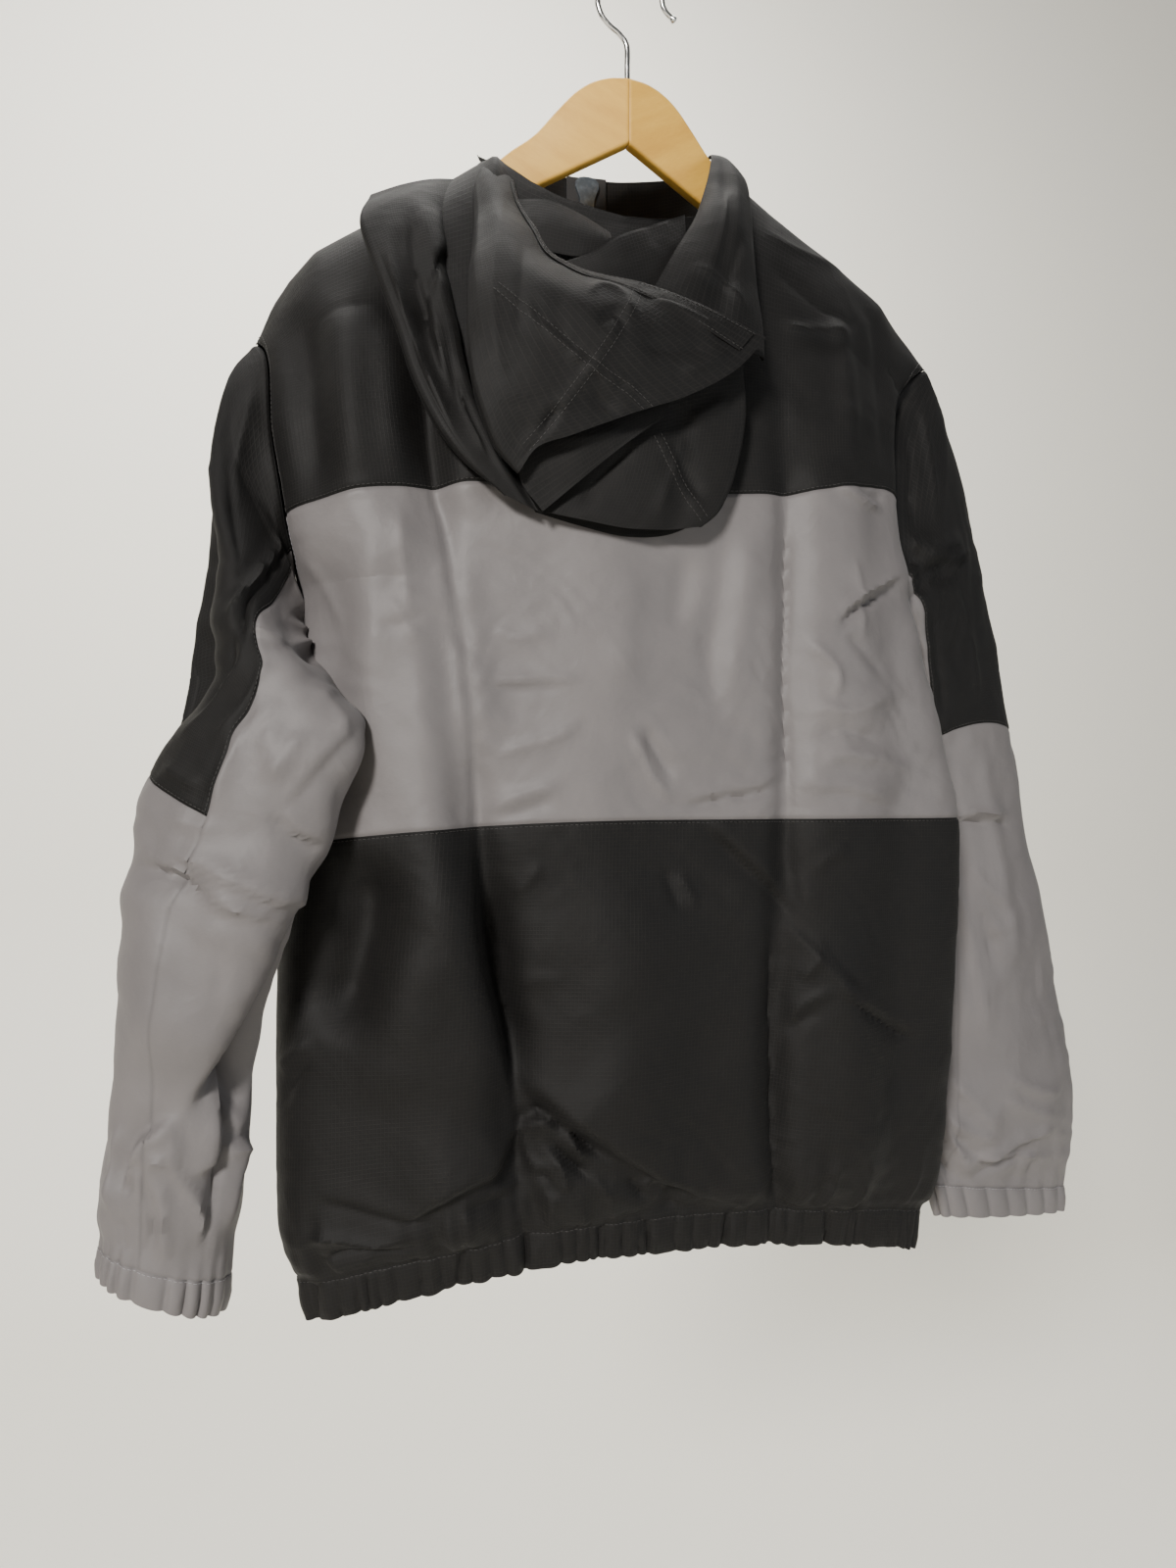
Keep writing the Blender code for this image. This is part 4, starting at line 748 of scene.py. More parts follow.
# %% The creases of the back, the sleeves and the hood
BACK_CREASES = [    # push, width, step, reach, then the line's points
    # long fold of the left third: left side stands proud, sharp fall, slow rise to the right
    (0, 2.5, -1.8, 22, (-157, -250), (-147, -316), (-140, -373), (-130, -413), (-123, -461),
     (-117, -521), (-114, -579), (-110, -616), (-104, -664), (-95, -707), (-87, -737), (-85, -767)),
    (4.8, 13, 0, 0, (-134, -385), (-126, -440), (-117, -500), (-112, -560)),
    (4, 22, 0, 0, (-151, -360), (-144, -437), (-140, -521), (-138, -592), (-135, -662), (-129, -720)),
    (3, 14, 0, 0, (-178, -369), (-175, -439), (-179, -498), (-178, -557)),
    (-3, 16, 0, 0, (-203, -403), (-198, -473), (-192, -533), (-191, -615)),
    (-11, 18, 0, 0, (-178, -590), (-180, -633), (-190, -676), (-205, -713)),
    (4, 22, 0, 0, (-150, -640), (-160, -700), (-172, -758)),
    # pressed crease right of the middle
    (-0.5, 3.0, 1.2, 16, (95, -342), (97, -375), (95, -428), (92, -486), (93, -531), (93, -582), (95, -608),
     (99, -649)),
    (-1.2, 4.5, 0, 0, (97, -348), (95, -428), (92, -486), (93, -531), (93, -579)),
    (5, 42, 0, 0, (-14, -605), (-11, -678), (-8, -752), (-1, -803)),
    (5, 24, 0, 0, (133, -646), (136, -711), (144, -777), (157, -849)),
    # the lower band: its bulges, diagonals and the hollow above the hem
    (1.0, 2.5, -3.2, 24, (-88, -754), (-89, -769), (-95, -783), (-103, -793), (-114, -796),
     (-127, -801), (-147, -813), (-164, -822)),
    (1.4, 2.0, 3.6, 34, (-91, -732), (-78, -746), (-64, -758), (-43, -772), (-20, -789), (7, -806),
     (31, -817), (57, -825)),
    (-2.2, 3, 0, 0, (-87, -744), (-75, -757), (-55, -772), (-27, -793)),
    (-1.2, 1.4, 0, 0, (-81, -743), (-70, -753), (-57, -763)),
    (1.2, 2, -2.2, 9, (-90, -769), (-78, -764), (-63, -758)),
    (2.0, 4, 0, 0, (-63, -760), (-55, -775), (-46, -792)),
    (1.6, 4, 0, 0, (-85, -767), (-80, -786), (-71, -800)),
    (-2.2, 4, 0, 0, (-72, -772), (-58, -788), (-36, -805)),
    (1.6, 4, 0, 0, (-66, -784), (-60, -797), (-58, -810)),
    (-1.6, 3, 0, 0, (-77, -794), (-69, -800), (-65, -813)),
    (1.4, 4, 0, 0, (-50, -794), (-38, -803), (-30, -818)),
    (1.4, 4, 0, 0, (-9, -816), (-2, -805), (14, -812)),
    (-1.4, 4, 0, 0, (-20, -799), (-5, -822)),
    (-1.0, 1.6, 0.8, 10, (-213, -807), (-192, -810), (-164, -817), (-133, -821)),
    (2.0, 6, 0, 0, (-220, -842), (-203, -830), (-175, -833), (-152, -828)),
    (-1.8, 5, 0, 0, (-210, -848), (-192, -840), (-163, -837), (-141, -832)),
    (1.4, 4, 0, 0, (-229, -735), (-220, -721), (-209, -710)),
    (-1.2, 4, 0, 0, (-229, -759), (-222, -740), (-210, -723)),
    (1.2, 4, 0, 0, (-106, -806), (-92, -804), (-84, -802)),
    (-1.2, 4, 0, 0, (-124, -814), (-106, -812), (-87, -813)),
    (0, 2.0, -5.0, 34, (-114, -582), (-113, -616), (-108, -664), (-99, -700), (-93, -731),
     (-88, -768)),
    (-4.5, 9, 0, 0, (-107, -616), (-101, -664), (-92, -701), (-83, -737)),
    (0, 2.8, 0.9, 14, (93, -580), (94, -608), (98, -633), (99, -644)),
    (-2.2, 4.5, 0, 0, (79, -636), (80, -684), (82, -735), (83, -793), (88, -851)),
    (-1.6, 6, 0, 0, (89, -652), (87, -697), (86, -747), (87, -812)),
    (-1.5, 1.8, 1.5, 14, (27, -580), (45, -595), (66, -613), (85, -630), (99, -646)),
    (1.3, 2.4, -0.8, 10, (80, -639), (97, -655), (116, -677), (134, -698), (147, -705)),
    (-1.8, 1.4, 0.8, 9, (118, -690), (143, -706), (178, -725), (199, -732)),
    (1.2, 3, 0, 0, (101, -649), (119, -674), (143, -702)),
    (1.2, 3, 0, 0, (91, -712), (97, -699), (119, -689)),
    (-1.2, 4, 0, 0, (88, -722), (100, -709), (112, -703)),
    (1.3, 5, 0, 0, (97, -684), (106, -671), (112, -666)),
    (1.0, 5, 0, 0, (105, -614), (116, -604), (134, -598)),
    (0.8, 4, 0, 0, (-93, -683), (-79, -676), (-58, -676)),
    (-0.8, 5, 0, 0, (-104, -652), (-93, -661), (-90, -676)),
    (1.0, 6, 0, 0, (-73, -604), (-82, -616), (-93, -625)),
    (0.9, 3, 0, 0, (12, -612), (19, -621), (27, -636)),
    (-0.9, 4, 0, 0, (3, -606), (10, -624), (14, -637)),
    # grey band, soft pressed lines
    (0.9, 3, 0.7, 8, (13, -570), (29, -564), (49, -560), (69, -557), (85, -552), (93, -554)),
    (-1.0, 3, 0, 0, (13, -573), (32, -569), (59, -564), (89, -560)),
    (0.9, 3, 0.7, 8, (94, -555), (107, -558), (127, -559), (151, -564), (178, -571)),
    (1.8, 3.5, 1.0, 10, (120, -452), (132, -441), (147, -431), (168, -420), (192, -409)),
    (-1.5, 3, 0, 0, (123, -459), (142, -441), (174, -425)),
    (1.4, 4, 0.8, 10, (124, -356), (139, -361), (157, -366), (179, -367)),
    (-1.2, 4, 0, 0, (144, -356), (164, -359), (181, -359)),
    (-1.8, 10, 0, 0, (52, -380), (46, -425), (38, -457), (38, -488), (43, -525)),
    (1.8, 11, 0, 0, (66, -385), (62, -430), (55, -469), (47, -519)),
    (-1.5, 9, 0, 0, (24, -407), (19, -432), (13, -464)),
    (1.3, 12, 0, 0, (-13, -410), (-20, -459), (-26, -508)),
    (1.4, 5, 0, 0, (-20, -520), (-10, -538), (-2, -553), (13, -570)),
    (-1.4, 5, 0, 0, (-10, -520), (1, -538), (13, -557)),
    (1.0, 5, 0, 0, (-114, -491), (-93, -493), (-70, -491), (-43, -493)),
    (-0.8, 4, 0, 0, (-113, -497), (-87, -499), (-58, -497)),
    (1.3, 7, 0, 0, (-112, -578), (-99, -568), (-79, -561), (-58, -554)),
    (-1.0, 6, 0, 0, (-105, -579), (-82, -572), (-64, -564)),
    (1.2, 6, 0, 0, (-105, -542), (-88, -534), (-64, -527), (-46, -514)),
    (1.5, 6, 0, 0, (100, -460), (116, -472), (126, -486), (121, -505)),
    (-1.2, 6, 0, 0, (130, -453), (149, -470), (168, -484)),
    (1.3, 6, 0, 0, (98, -518), (115, -507), (135, -509), (162, -499), (191, -489)),
    (-1.1, 6, 0, 0, (102, -531), (128, -521), (165, -530)),
    (1.2, 7, 0, 0, (108, -547), (127, -537), (160, -540), (191, -550)),
    (1.0, 7, 0, 0, (140, -400), (147, -439), (144, -466)),
    (1.2, 8, 0, 0, (-160, -383), (-155, -427), (-151, -462)),
    (-1.0, 6, 0, 0, (-135, -389), (-127, -437), (-123, -485)),
    (0.9, 5, 0, 0, (-220, -409), (-203, -436), (-191, -468)),
    (0.8, 5, 0, 0, (-166, -439), (-152, -465), (-140, -473)),
    (-0.8, 4, 0, 0, (-175, -463), (-158, -462), (-136, -452)),
    (0.8, 4, 0, 0, (-105, -461), (-87, -467), (-69, -461)),
    # yoke
    (4, 15, 0, 0, (-196, -236), (-190, -271), (-188, -332), (-185, -393)),
    (-5, 13, 0, 0, (-223, -246), (-218, -266), (-212, -317), (-209, -361), (-207, -402)),
    (2.5, 12, 0, 0, (-164, -264), (-161, -318), (-159, -379)),
    (-4, 14, 0, 0, (-159, -214), (-152, -271), (-144, -322), (-139, -376)),
    (3, 14, 0, 0, (-127, -315), (-122, -359), (-116, -401)),
    (0.9, 8, 0, 0, (91, -165), (113, -179), (151, -183), (174, -180)),
    (-1.0, 7, 0, 0, (93, -195), (123, -217), (146, -229), (173, -233)),
    (1.6, 7, 0, 0, (95, -245), (126, -246), (162, -239)),
    (1.5, 9, 0, 0, (99, -280), (100, -315), (97, -362)),
    (-2.2, 10, 0, 0, (158, -200), (188, -224), (184, -308), (181, -352)),
    (2.4, 10, 0, 0, (149, -211), (149, -272), (141, -346)),
    (-1.5, 7, 0, 0, (197, -253), (209, -259), (213, -272)),
]
LEFT_SLEEVE_CREASES = [    # push, width, step, reach, then the line's points
    # dark part of the left sleeve
    (2.5, 5, 1.5, 14, (-226, -390), (-242, -408), (-259, -433), (-272, -452), (-276, -470)),
    (-2.5, 5, 0, 0, (-232, -396), (-246, -420), (-260, -442), (-268, -464), (-272, -488)),
    (1.2, 2.5, 0.8, 8, (-267, -464), (-255, -470), (-242, -473)),
    (1.8, 8, 0, 0, (-242, -297), (-249, -328), (-255, -355), (-262, -395)),
    (-1.8, 8, 0, 0, (-255, -342), (-263, -389), (-270, -434)),
    (2.0, 7, 0, 0, (-257, -439), (-268, -471), (-281, -499), (-291, -534)),
    (-1.8, 6, 0, 0, (-273, -464), (-283, -493), (-290, -522)),
    (1.2, 5, 0, 0, (-260, -477), (-264, -506), (-268, -540)),
    (1.2, 5, 0, 0, (-295, -545), (-283, -551), (-267, -559)),
    # grey part, from the armpit to the elbow
    (2.0, 4, 1.0, 12, (-247, -454), (-232, -459), (-216, -466), (-204, -474), (-192, -486)),
    (-1.6, 4, 0, 0, (-239, -448), (-223, -457), (-209, -465)),
    (1.6, 3.5, 0.8, 10, (-246, -473), (-229, -469), (-212, -471), (-199, -476)),
    (-1.4, 3.5, 0, 0, (-242, -477), (-223, -480), (-206, -485)),
    (1.8, 6, 0, 0, (-217, -427), (-213, -447), (-208, -468)),
    (1.5, 5, 0, 0, (-220, -493), (-206, -504), (-192, -517)),
    (-1.2, 5, 0, 0, (-223, -502), (-211, -512), (-199, -526)),
    (1.4, 6, 0, 0, (-221, -524), (-226, -540), (-230, -557)),
    (1.2, 6, 0, 0, (-241, -517), (-234, -540), (-226, -557)),
    (2.0, 3, 1.8, 12, (-304, -596), (-290, -601), (-275, -606), (-261, -615), (-252, -623), (-234, -628),
     (-214, -635)),
    (-1.2, 3, 0, 0, (-303, -602), (-283, -608), (-266, -616), (-253, -628)),
    (1.2, 8, 0, 0, (-289, -573), (-272, -579), (-253, -584)),
    (-2.0, 12, 0, 0, (-266, -584), (-272, -640), (-275, -696)),
    (2.5, 14, 0, 0, (-291, -612), (-296, -668), (-302, -725)),
    (1.6, 8, 0, 0, (-248, -500), (-256, -545), (-257, -584)),
    (-1.2, 7, 0, 0, (-253, -634), (-261, -668), (-272, -702)),
    # elbow and armpit
    (1.0, 3, -1.2, 14, (-192, -521), (-204, -539), (-215, -559), (-225, -571)),
    (-2.0, 2.5, 1.2, 8, (-227, -570), (-222, -580), (-213, -588), (-197, -594)),
    (-1.6, 2.5, 0.8, 8, (-244, -474), (-226, -475), (-209, -478), (-202, -487)),
    (1.6, 2.5, -0.8, 8, (-239, -456), (-220, -467), (-199, -488)),
    (0.9, 4, 0, 0, (-238, -494), (-221, -502), (-204, -519), (-195, -533)),
    # the diagonal edge of the lit side, and the pocket above the cuff
    (-4, 3, 0, 0, (-192, -597), (-205, -625), (-222, -655), (-238, -681), (-251, -707), (-266, -731),
     (-279, -751)),
    (0, 1.6, -9, 60, (-196, -595), (-209, -623), (-226, -653), (-242, -679), (-255, -705),
     (-270, -729), (-283, -749)),
    (-14, 20, 0, 0, (-191, -615), (-206, -649), (-220, -677), (-234, -705), (-246, -738), (-251, -765)),
    (2.2, 2.5, 3.4, 16, (-281, -748), (-290, -751), (-299, -757), (-307, -764), (-312, -777),
     (-317, -795)),
    (2.6, 3.5, -2.0, 10, (-255, -708), (-259, -733), (-262, -756), (-264, -775), (-273, -780),
     (-285, -785)),
    (-3.2, 4.5, 0, 0, (-252, -717), (-256, -746), (-260, -772), (-265, -794), (-270, -817),
     (-274, -836)),
    (2.2, 4, 0, 0, (-284, -753), (-287, -765), (-287, -777), (-281, -787), (-274, -800), (-272, -810),
     (-276, -831)),
    (-1.3, 5.0, 0, 0, (-305, -764), (-305, -777), (-302, -794), (-299, -809), (-301, -821),
     (-309, -834)),
    (-1.8, 5.0, 0, 0, (-307, -769), (-311, -782), (-315, -796)),
    (2.0, 5, 0, 0, (-294, -779), (-294, -796), (-293, -817), (-292, -834)),
    (2.0, 5, 0, 0, (-302, -770), (-297, -772), (-288, -773)),
    (-1.0, 5, 0, 0, (-316, -805), (-316, -818), (-315, -829)),
    (2.0, 5, 0, 0, (-251, -759), (-249, -778), (-254, -795), (-259, -824)),
    (1.8, 4, 0, 0, (-237, -709), (-242, -738), (-247, -756), (-254, -765)),
    (-1.6, 4, 0, 0, (-258, -754), (-251, -765), (-242, -762)),
    (1.6, 4, 0, 0, (-260, -766), (-253, -774), (-242, -771)),
    (2.0, 6, 0, 0, (-320, -749), (-324, -778), (-324, -807)),
    (1.8, 3, 1.6, 12, (-287, -593), (-269, -601), (-253, -608), (-241, -613), (-221, -621),
     (-199, -626)),
    (1.5, 5, 0, 0, (-237, -500), (-221, -506), (-204, -520), (-192, -534)),
    (1.4, 5, 0, 0, (-242, -467), (-226, -470), (-211, -472)),
    (-1.2, 4, 0, 0, (-238, -481), (-223, -479), (-206, -481)),
    (1.3, 5, 0, 0, (-228, -438), (-219, -453), (-208, -465)),
]
RIGHT_SLEEVE_CREASES = [    # push, width, step, reach, then the line's points
    (-2.2, 3, -1.5, 10, (177, -313), (216, -279), (230, -262), (240, -245)),
    (2.0, 5, 1.0, 10, (202, -378), (219, -386), (237, -391), (283, -381)),
    (-2.0, 4, 0, 0, (204, -389), (221, -399), (253, -397)),
    (2.2, 5, 1.0, 10, (203, -421), (205, -411), (226, -396), (242, -388)),
    (-1.8, 5, 0, 0, (204, -428), (215, -420), (230, -407)),
    (2.0, 8, 0, 0, (241, -260), (240, -316), (239, -369)),
    (-2.0, 8, 0, 0, (225, -286), (220, -334), (216, -375)),
    (1.8, 8, 0, 0, (258, -411), (277, -453), (287, -504)),
    (-1.6, 8, 0, 0, (230, -421), (243, -470), (251, -513)),
    (1.4, 3, 0.8, 8, (250, -583), (265, -580), (294, -579), (324, -582)),
    (-1.0, 3, 0, 0, (248, -587), (283, -585), (331, -589)),
    (1.8, 9, 0, 0, (286, -527), (299, -594), (309, -668), (317, -736)),
    (-1.8, 9, 0, 0, (261, -593), (268, -666), (270, -739)),
    (1.6, 5, 0, 0, (273, -615), (290, -660), (309, -676)),
    (1.2, 5, 0, 0, (269, -608), (286, -634), (310, -650)),
    (2.2, 5, 1.0, 10, (260, -844), (288, -835), (322, -828), (371, -825)),
    (-1.8, 4, 0, 0, (267, -853), (299, -844), (340, -837)),
    (2.4, 5, 1.2, 10, (247, -802), (252, -817), (263, -838), (272, -854)),
    (-2.2, 4, 0, 0, (232, -810), (244, -832), (256, -851)),
    (1.8, 5, 0, 0, (296, -770), (326, -789), (369, -800)),
    (1.5, 6, 0, 0, (249, -776), (269, -790), (296, -822)),
    (1.5, 5, 0, 0, (323, -862), (330, -843), (342, -830)),
    (-2.0, 2.5, -1.2, 9, (238, -249), (220, -271), (207, -296)),
    (1.8, 5, 1.0, 10, (202, -378), (228, -385), (276, -372)),
    (-1.6, 4, 0, 0, (202, -402), (230, -407), (273, -401)),
    (1.2, 2.6, 0.8, 8, (251, -581), (274, -580), (317, -582)),
    (1.6, 6, 0, 0, (254, -608), (268, -652), (279, -703), (287, -762)),
    (-1.5, 6, 0, 0, (269, -601), (285, -652), (298, -705)),
    (1.8, 4, 0, 0, (257, -840), (278, -835), (318, -840), (361, -850)),
    (-1.6, 4, 0, 0, (250, -811), (265, -826), (289, -848)),
    (1.8, 5, 0, 0, (247, -799), (260, -811), (292, -825)),
    (1.6, 5, 0, 0, (296, -785), (320, -803), (363, -818)),
]
HOOD_CREASES = {
    "hood_flap": [
        (1.0, 6, 0, 0, (-92, -189), (-102, -229), (-108, -272), (-106, -308), (-98, -340)),
        (-1.0, 6, 0, 0, (-84, -222), (-92, -264), (-95, -302)),
        (-4.5, 1.8, 0, 0, (-66, -330), (-74, -340), (-80, -352), (-88, -362), (-99, -375)),
        (1.5, 4, 0, 0, (-105, -264), (-94, -274), (-84, -284), (-69, -298), (-51, -310), (-38, -317),
         (-26, -323), (-14, -331)),
        (1.5, 4, 0, 0, (-16, -244), (-21, -262), (-34, -285), (-50, -309), (-62, -326), (-73, -340),
         (-84, -358), (-99, -374)),
        (2.0, 6, 0, 0, (-54, -269), (-42, -256), (-28, -263), (-27, -284)),
        (-1.8, 6, 0, 0, (-49, -287), (-36, -277), (-29, -290)),
        (2.0, 7, 0, 0, (-15, -261), (10, -268), (36, -279)),
        (-1.6, 6, 0, 0, (-24, -295), (2, -295), (29, -288)),
        (1.8, 6, 0, 0, (2, -309), (22, -301), (42, -288)),
        (1.5, 6, 0, 0, (-41, -330), (-22, -334), (2, -320)),
        (-1.5, 6, 0, 0, (-53, -325), (-29, -341)),
        (2.5, 6, 2, 14, (-76, -343), (-80, -352), (-88, -362), (-100, -376)),
    ],
    "hood_pouch": [
        (2.0, 4, 0, 0, (-2, -341), (6, -356), (12, -369), (21, -382), (27, -389)),
        (-1.6, 4, 0, 0, (6, -342), (15, -361), (24, -374), (31, -382)),
        (1.6, 5, 0, 0, (17, -330), (30, -323), (47, -312)),
        (-2.0, 7, 0, 0, (-16, -346), (-41, -371), (-53, -390)),
        (1.8, 8, 0, 0, (17, -336), (2, -375), (-4, -396)),
    ],
    "hood_gusset": [
        (1.5, 6, 0, 0, (-73, -351), (-49, -348), (-25, -340)),
    ],
    "hood_drape": [
        (3.0, 7, 0, 0, (-161, -190), (-162, -231), (-157, -271), (-141, -316), (-125, -352)),
        (-3.0, 7, 0, 0, (-147, -183), (-149, -234), (-143, -274), (-130, -323)),
        (3.0, 6, 2, 12, (-135, -176), (-131, -218), (-140, -253), (-135, -293), (-125, -335)),
        (-5.0, 7, 0, 0, (-125, -213), (-134, -235), (-143, -268), (-141, -292)),
        (2.5, 5, 0, 0, (-123, -308), (-120, -335), (-108, -364)),
    ],
    "hood_right": [
        (2.5, 7, 0, 0, (64, -155), (47, -202), (32, -240)),
        (-2.0, 7, 0, 0, (67, -190), (51, -230), (42, -252)),
        (2.0, 6, 0, 0, (20, -228), (47, -237), (62, -256)),
    ],
}

# %% [markdown]
# ## The body
# Back and fronts are one surface each, cut into a yoke, a middle and a lower panel. All three
# read the same folds, creases and facets, so a crease that crosses a seam goes on beyond it.

# %% Gathers of the elastic hem
GATHER_PITCH = 13.0                        # one tuck and one swell
LEVEL_HEIGHT = 27      # roughly, above the casing
HEM_THETA = np.linspace(-2.2, 2.2, 900)    # a little beyond the zip on both sides


def hem_theta(side, s):
    """A place round the hem: 0 is the middle of the back, and both ends meet at the zip."""
    return s if side == "back" else np.where(s > 0, 2 - s, -2 - s)


def hem_ring():
    """The length of the hem up to each place round it."""
    side_s = np.where(np.abs(HEM_THETA) <= 1, HEM_THETA, np.sign(HEM_THETA) * 2 - HEM_THETA)
    level = np.full_like(HEM_THETA, CASING_TOP)
    points = np.where(np.abs(HEM_THETA)[:, None] <= 1, body_base("back", side_s, level),
                      body_base("front", side_s, level))
    return line_lengths(points)


HEM_LENGTH = hem_ring()


def hem_lobes(theta):
    """0 in a tuck and 1 on the swell between two tucks, with uneven spacing and height."""
    length = np.interp(theta, HEM_THETA, HEM_LENGTH)
    line = np.stack([length, length * 0, length * 0], axis=-1)
    phase = length / GATHER_PITCH + 1.5 * noise(line, 27.0, 21)
    return np.abs(np.sin(math.pi * phase)) ** 0.6 * (0.62 + 0.38 * noise(line, 13.0, 22))


# %% Body cloth with all its relief
BACK_CREASE_HEIGHT, FRONT_CREASE_HEIGHT = 1.8, 1.5
FINE_FACETS, COARSE_FACETS = (3.0, 15.0), (1.8, 52.0)        # height and size
LOBE_HEIGHT, LOBE_REACH = 2.4, 12
PLEAT_HEIGHT, PLEAT_SIZE, PLEAT_MIDDLE, PLEAT_REACH = 4.5, 12.0, 10, 17
CASING_SINK = 1.5      # how far the panels pass behind the casing
BODY_SEEDS = {"back": 31, "front": 71}
CRUMPLE_LEVELS = table("level fine coarse", [(0, 0.5, 0.8), (1, 0.9, 1.6), (1.6, 0.6, 1.3), (3, 0.30, 1.1),
                                             (4.9, 0.25, 0.9), (5.2, 0.45, 1.4), (7.8, 0.40, 1.3),
                                             (8.2, 0.22, 0.8), (11, 0.15, 0.3)])


def body_cloth(side, s, v):
    """Body with folds, creases, facets and the fading gathers above the elastic."""
    points, out = body(side, s, v)
    x, z = points[..., 0], points[..., 2]
    calm = smooth_step((1 - np.abs(s)) / 0.12)
    if side == "back":
        push = crease_field(x, z, BACK_CREASES) * BACK_CREASE_HEIGHT
    else:      # the fronts take most of the back's creases, mirrored about the zip and a little lower
        push = FRONT_CREASE_HEIGHT * crease_field(-x + 6, z + 12, BACK_CREASES[4:])
        push = push * smooth_step(np.abs(x + 6) / 60)
    fine = np.interp(v, CRUMPLE_LEVELS["level"], CRUMPLE_LEVELS["fine"])
    coarse = np.interp(v, CRUMPLE_LEVELS["level"], CRUMPLE_LEVELS["coarse"])
    seed = BODY_SEEDS[side]
    flat = points * (1, 0.3, 1)
    push = push + FINE_FACETS[0] * fine * crumple(flat, FINE_FACETS[1], seed) * patchy(flat, 50.0, seed + 1)
    push = push + COARSE_FACETS[0] * coarse * crumple(flat, COARSE_FACETS[1], seed + 2, waves=5)
    push = push * smooth_step((v - CASING_TOP) / 0.3)
    above = np.maximum(v - CASING_TOP, 0) * LEVEL_HEIGHT
    length = np.interp(hem_theta(side, s), HEM_THETA, HEM_LENGTH)
    line = np.stack([length, above * 0.25, length * 0], axis=-1)
    push = push + hem_lobes(hem_theta(side, s)) * LOBE_HEIGHT * np.exp(-above / LOBE_REACH)
    pleats = 1 - 2.2 * np.sqrt(noise(line, PLEAT_SIZE, 24) ** 2 + 0.01)
    push = push + PLEAT_HEIGHT * pleats * smooth_step(above / 10) * hump(above - PLEAT_MIDDLE, PLEAT_REACH)
    push = push - CASING_SINK * smooth_step((CASING_TOP - v) / 0.06)
    return points + out * (push * (0.25 + 0.75 * calm))[..., None], out


# %% Panels
YOKE_RISE = 0.55       # levels that the back yoke's seam climbs to the right armhole
FRONT_WIDTH, LEVEL_SIZE = 235, 70
ALL_BORDERS = ["start", "end", "left", "right"]
PANELS = {"lower": (CASING_TOP, LOWER_SEAM, "charcoal"), "middle": (LOWER_SEAM, UPPER_SEAM, "grey"),
          "yoke": (UPPER_SEAM, TOP, "charcoal")}


def shoulder_s(x):
    return s_at(np.asarray(x, dtype=float), SHOULDER_LEFT, SHOULDER_RIGHT)


def body_columns(part, levels, step):
    """The s of each column at each level; the columns beside the zip keep their distance to it."""
    if part == "back":
        s = shoulder_s(spread(SHOULDER_LEFT, SHOULDER_RIGHT, SHOULDER_RIGHT - SHOULDER_LEFT, step))
        return np.tile(s, (len(levels), 1))
    sign = -1 if part == "front_left" else 1
    far = SHOULDER_LEFT if sign < 0 else SHOULDER_RIGHT
    share = spread(0, 1, FRONT_WIDTH, step)[None, :]
    s_far, s_near = shoulder_s(far), zip_s(sign * ZIP_CHANNEL, levels)[:, None]
    across = np.sin(s_far * math.pi / 2) * (1 - share) + np.sin(s_near * math.pi / 2) * share
    s = np.arcsin(np.clip(across, -1, 1)) * 2 / math.pi
    return s if sign < 0 else s[:, ::-1]


for part, step in (("back", 2.5), ("front_left", 4.0), ("front_right", 4.0)):
    side = part.split("_")[0]
    for band, (low, high, cloth) in PANELS.items():
        levels = spread(low, high, (high - low) * LEVEL_SIZE, step)
        if band == "lower":      # its last rows pass behind the hem's casing
            levels = np.concatenate([[0.84, 0.92], levels])
        s = body_columns(part, levels, step)
        v = np.tile(levels[:, None], (1, s.shape[1]))
        if part == "back":
            near = np.clip(1 - np.abs(v - UPPER_SEAM) / (TOP - UPPER_SEAM), 0, 1)
            v = v + YOKE_RISE * smooth_step((s - 0.05) / 0.75) * near
        points, out = body_cloth(side, s, v)
        borders = [border for border in ALL_BORDERS if (band, border) != ("yoke", "end")]
        shell(f"{part}_{band}", points, out, cloth, borders)
for part in ("back", "front_left", "front_right"):
    sew(f"{part}_lower", "end", 2.0, "dark")
    sew(f"{part}_yoke", "start", 2.0, "dark")
for offset in (1.8, 6.0):
    sew("back_middle", "left", offset, "grey", 0.3, 1.0)
    sew("back_yoke", "left", offset, "dark")
    sew("back_yoke", "right", offset, "dark")

# %% [markdown]
# The hem is a doubled strip with elastic inside. The elastic draws it up in small tucks, sharp in
# their valleys and round between them, and no two alike. Its lower fold is rolled inwards.

# %% Hem casing
TUCK_PLACES = [(-210, 3), (-118, -4), (-81, 1), (-35, 2), (-4, 4), (55, -5), (84, 0), (123, 3), (152, -4)]
CASING_TUCKS = [(-2.6, 2.2, 0, 0, (x, -815), (x + lean, -860), (x + lean * 1.6, -905))
                for x, lean in TUCK_PLACES]
CASING_LOBES, CASING_BELLY, CASING_DIP = 3.6, 0.9, 0.9
THETA_MM = 200       # roughly, round the hem


def roll_in(points, out, steps):
    """Fold the last two rows of a casing inwards: how far in, and how far up."""
    for row, (inwards, rise) in zip((-2, -1), steps):
        points[row] = points[-3] - out[row] * inwards + np.array([0, 0, rise])


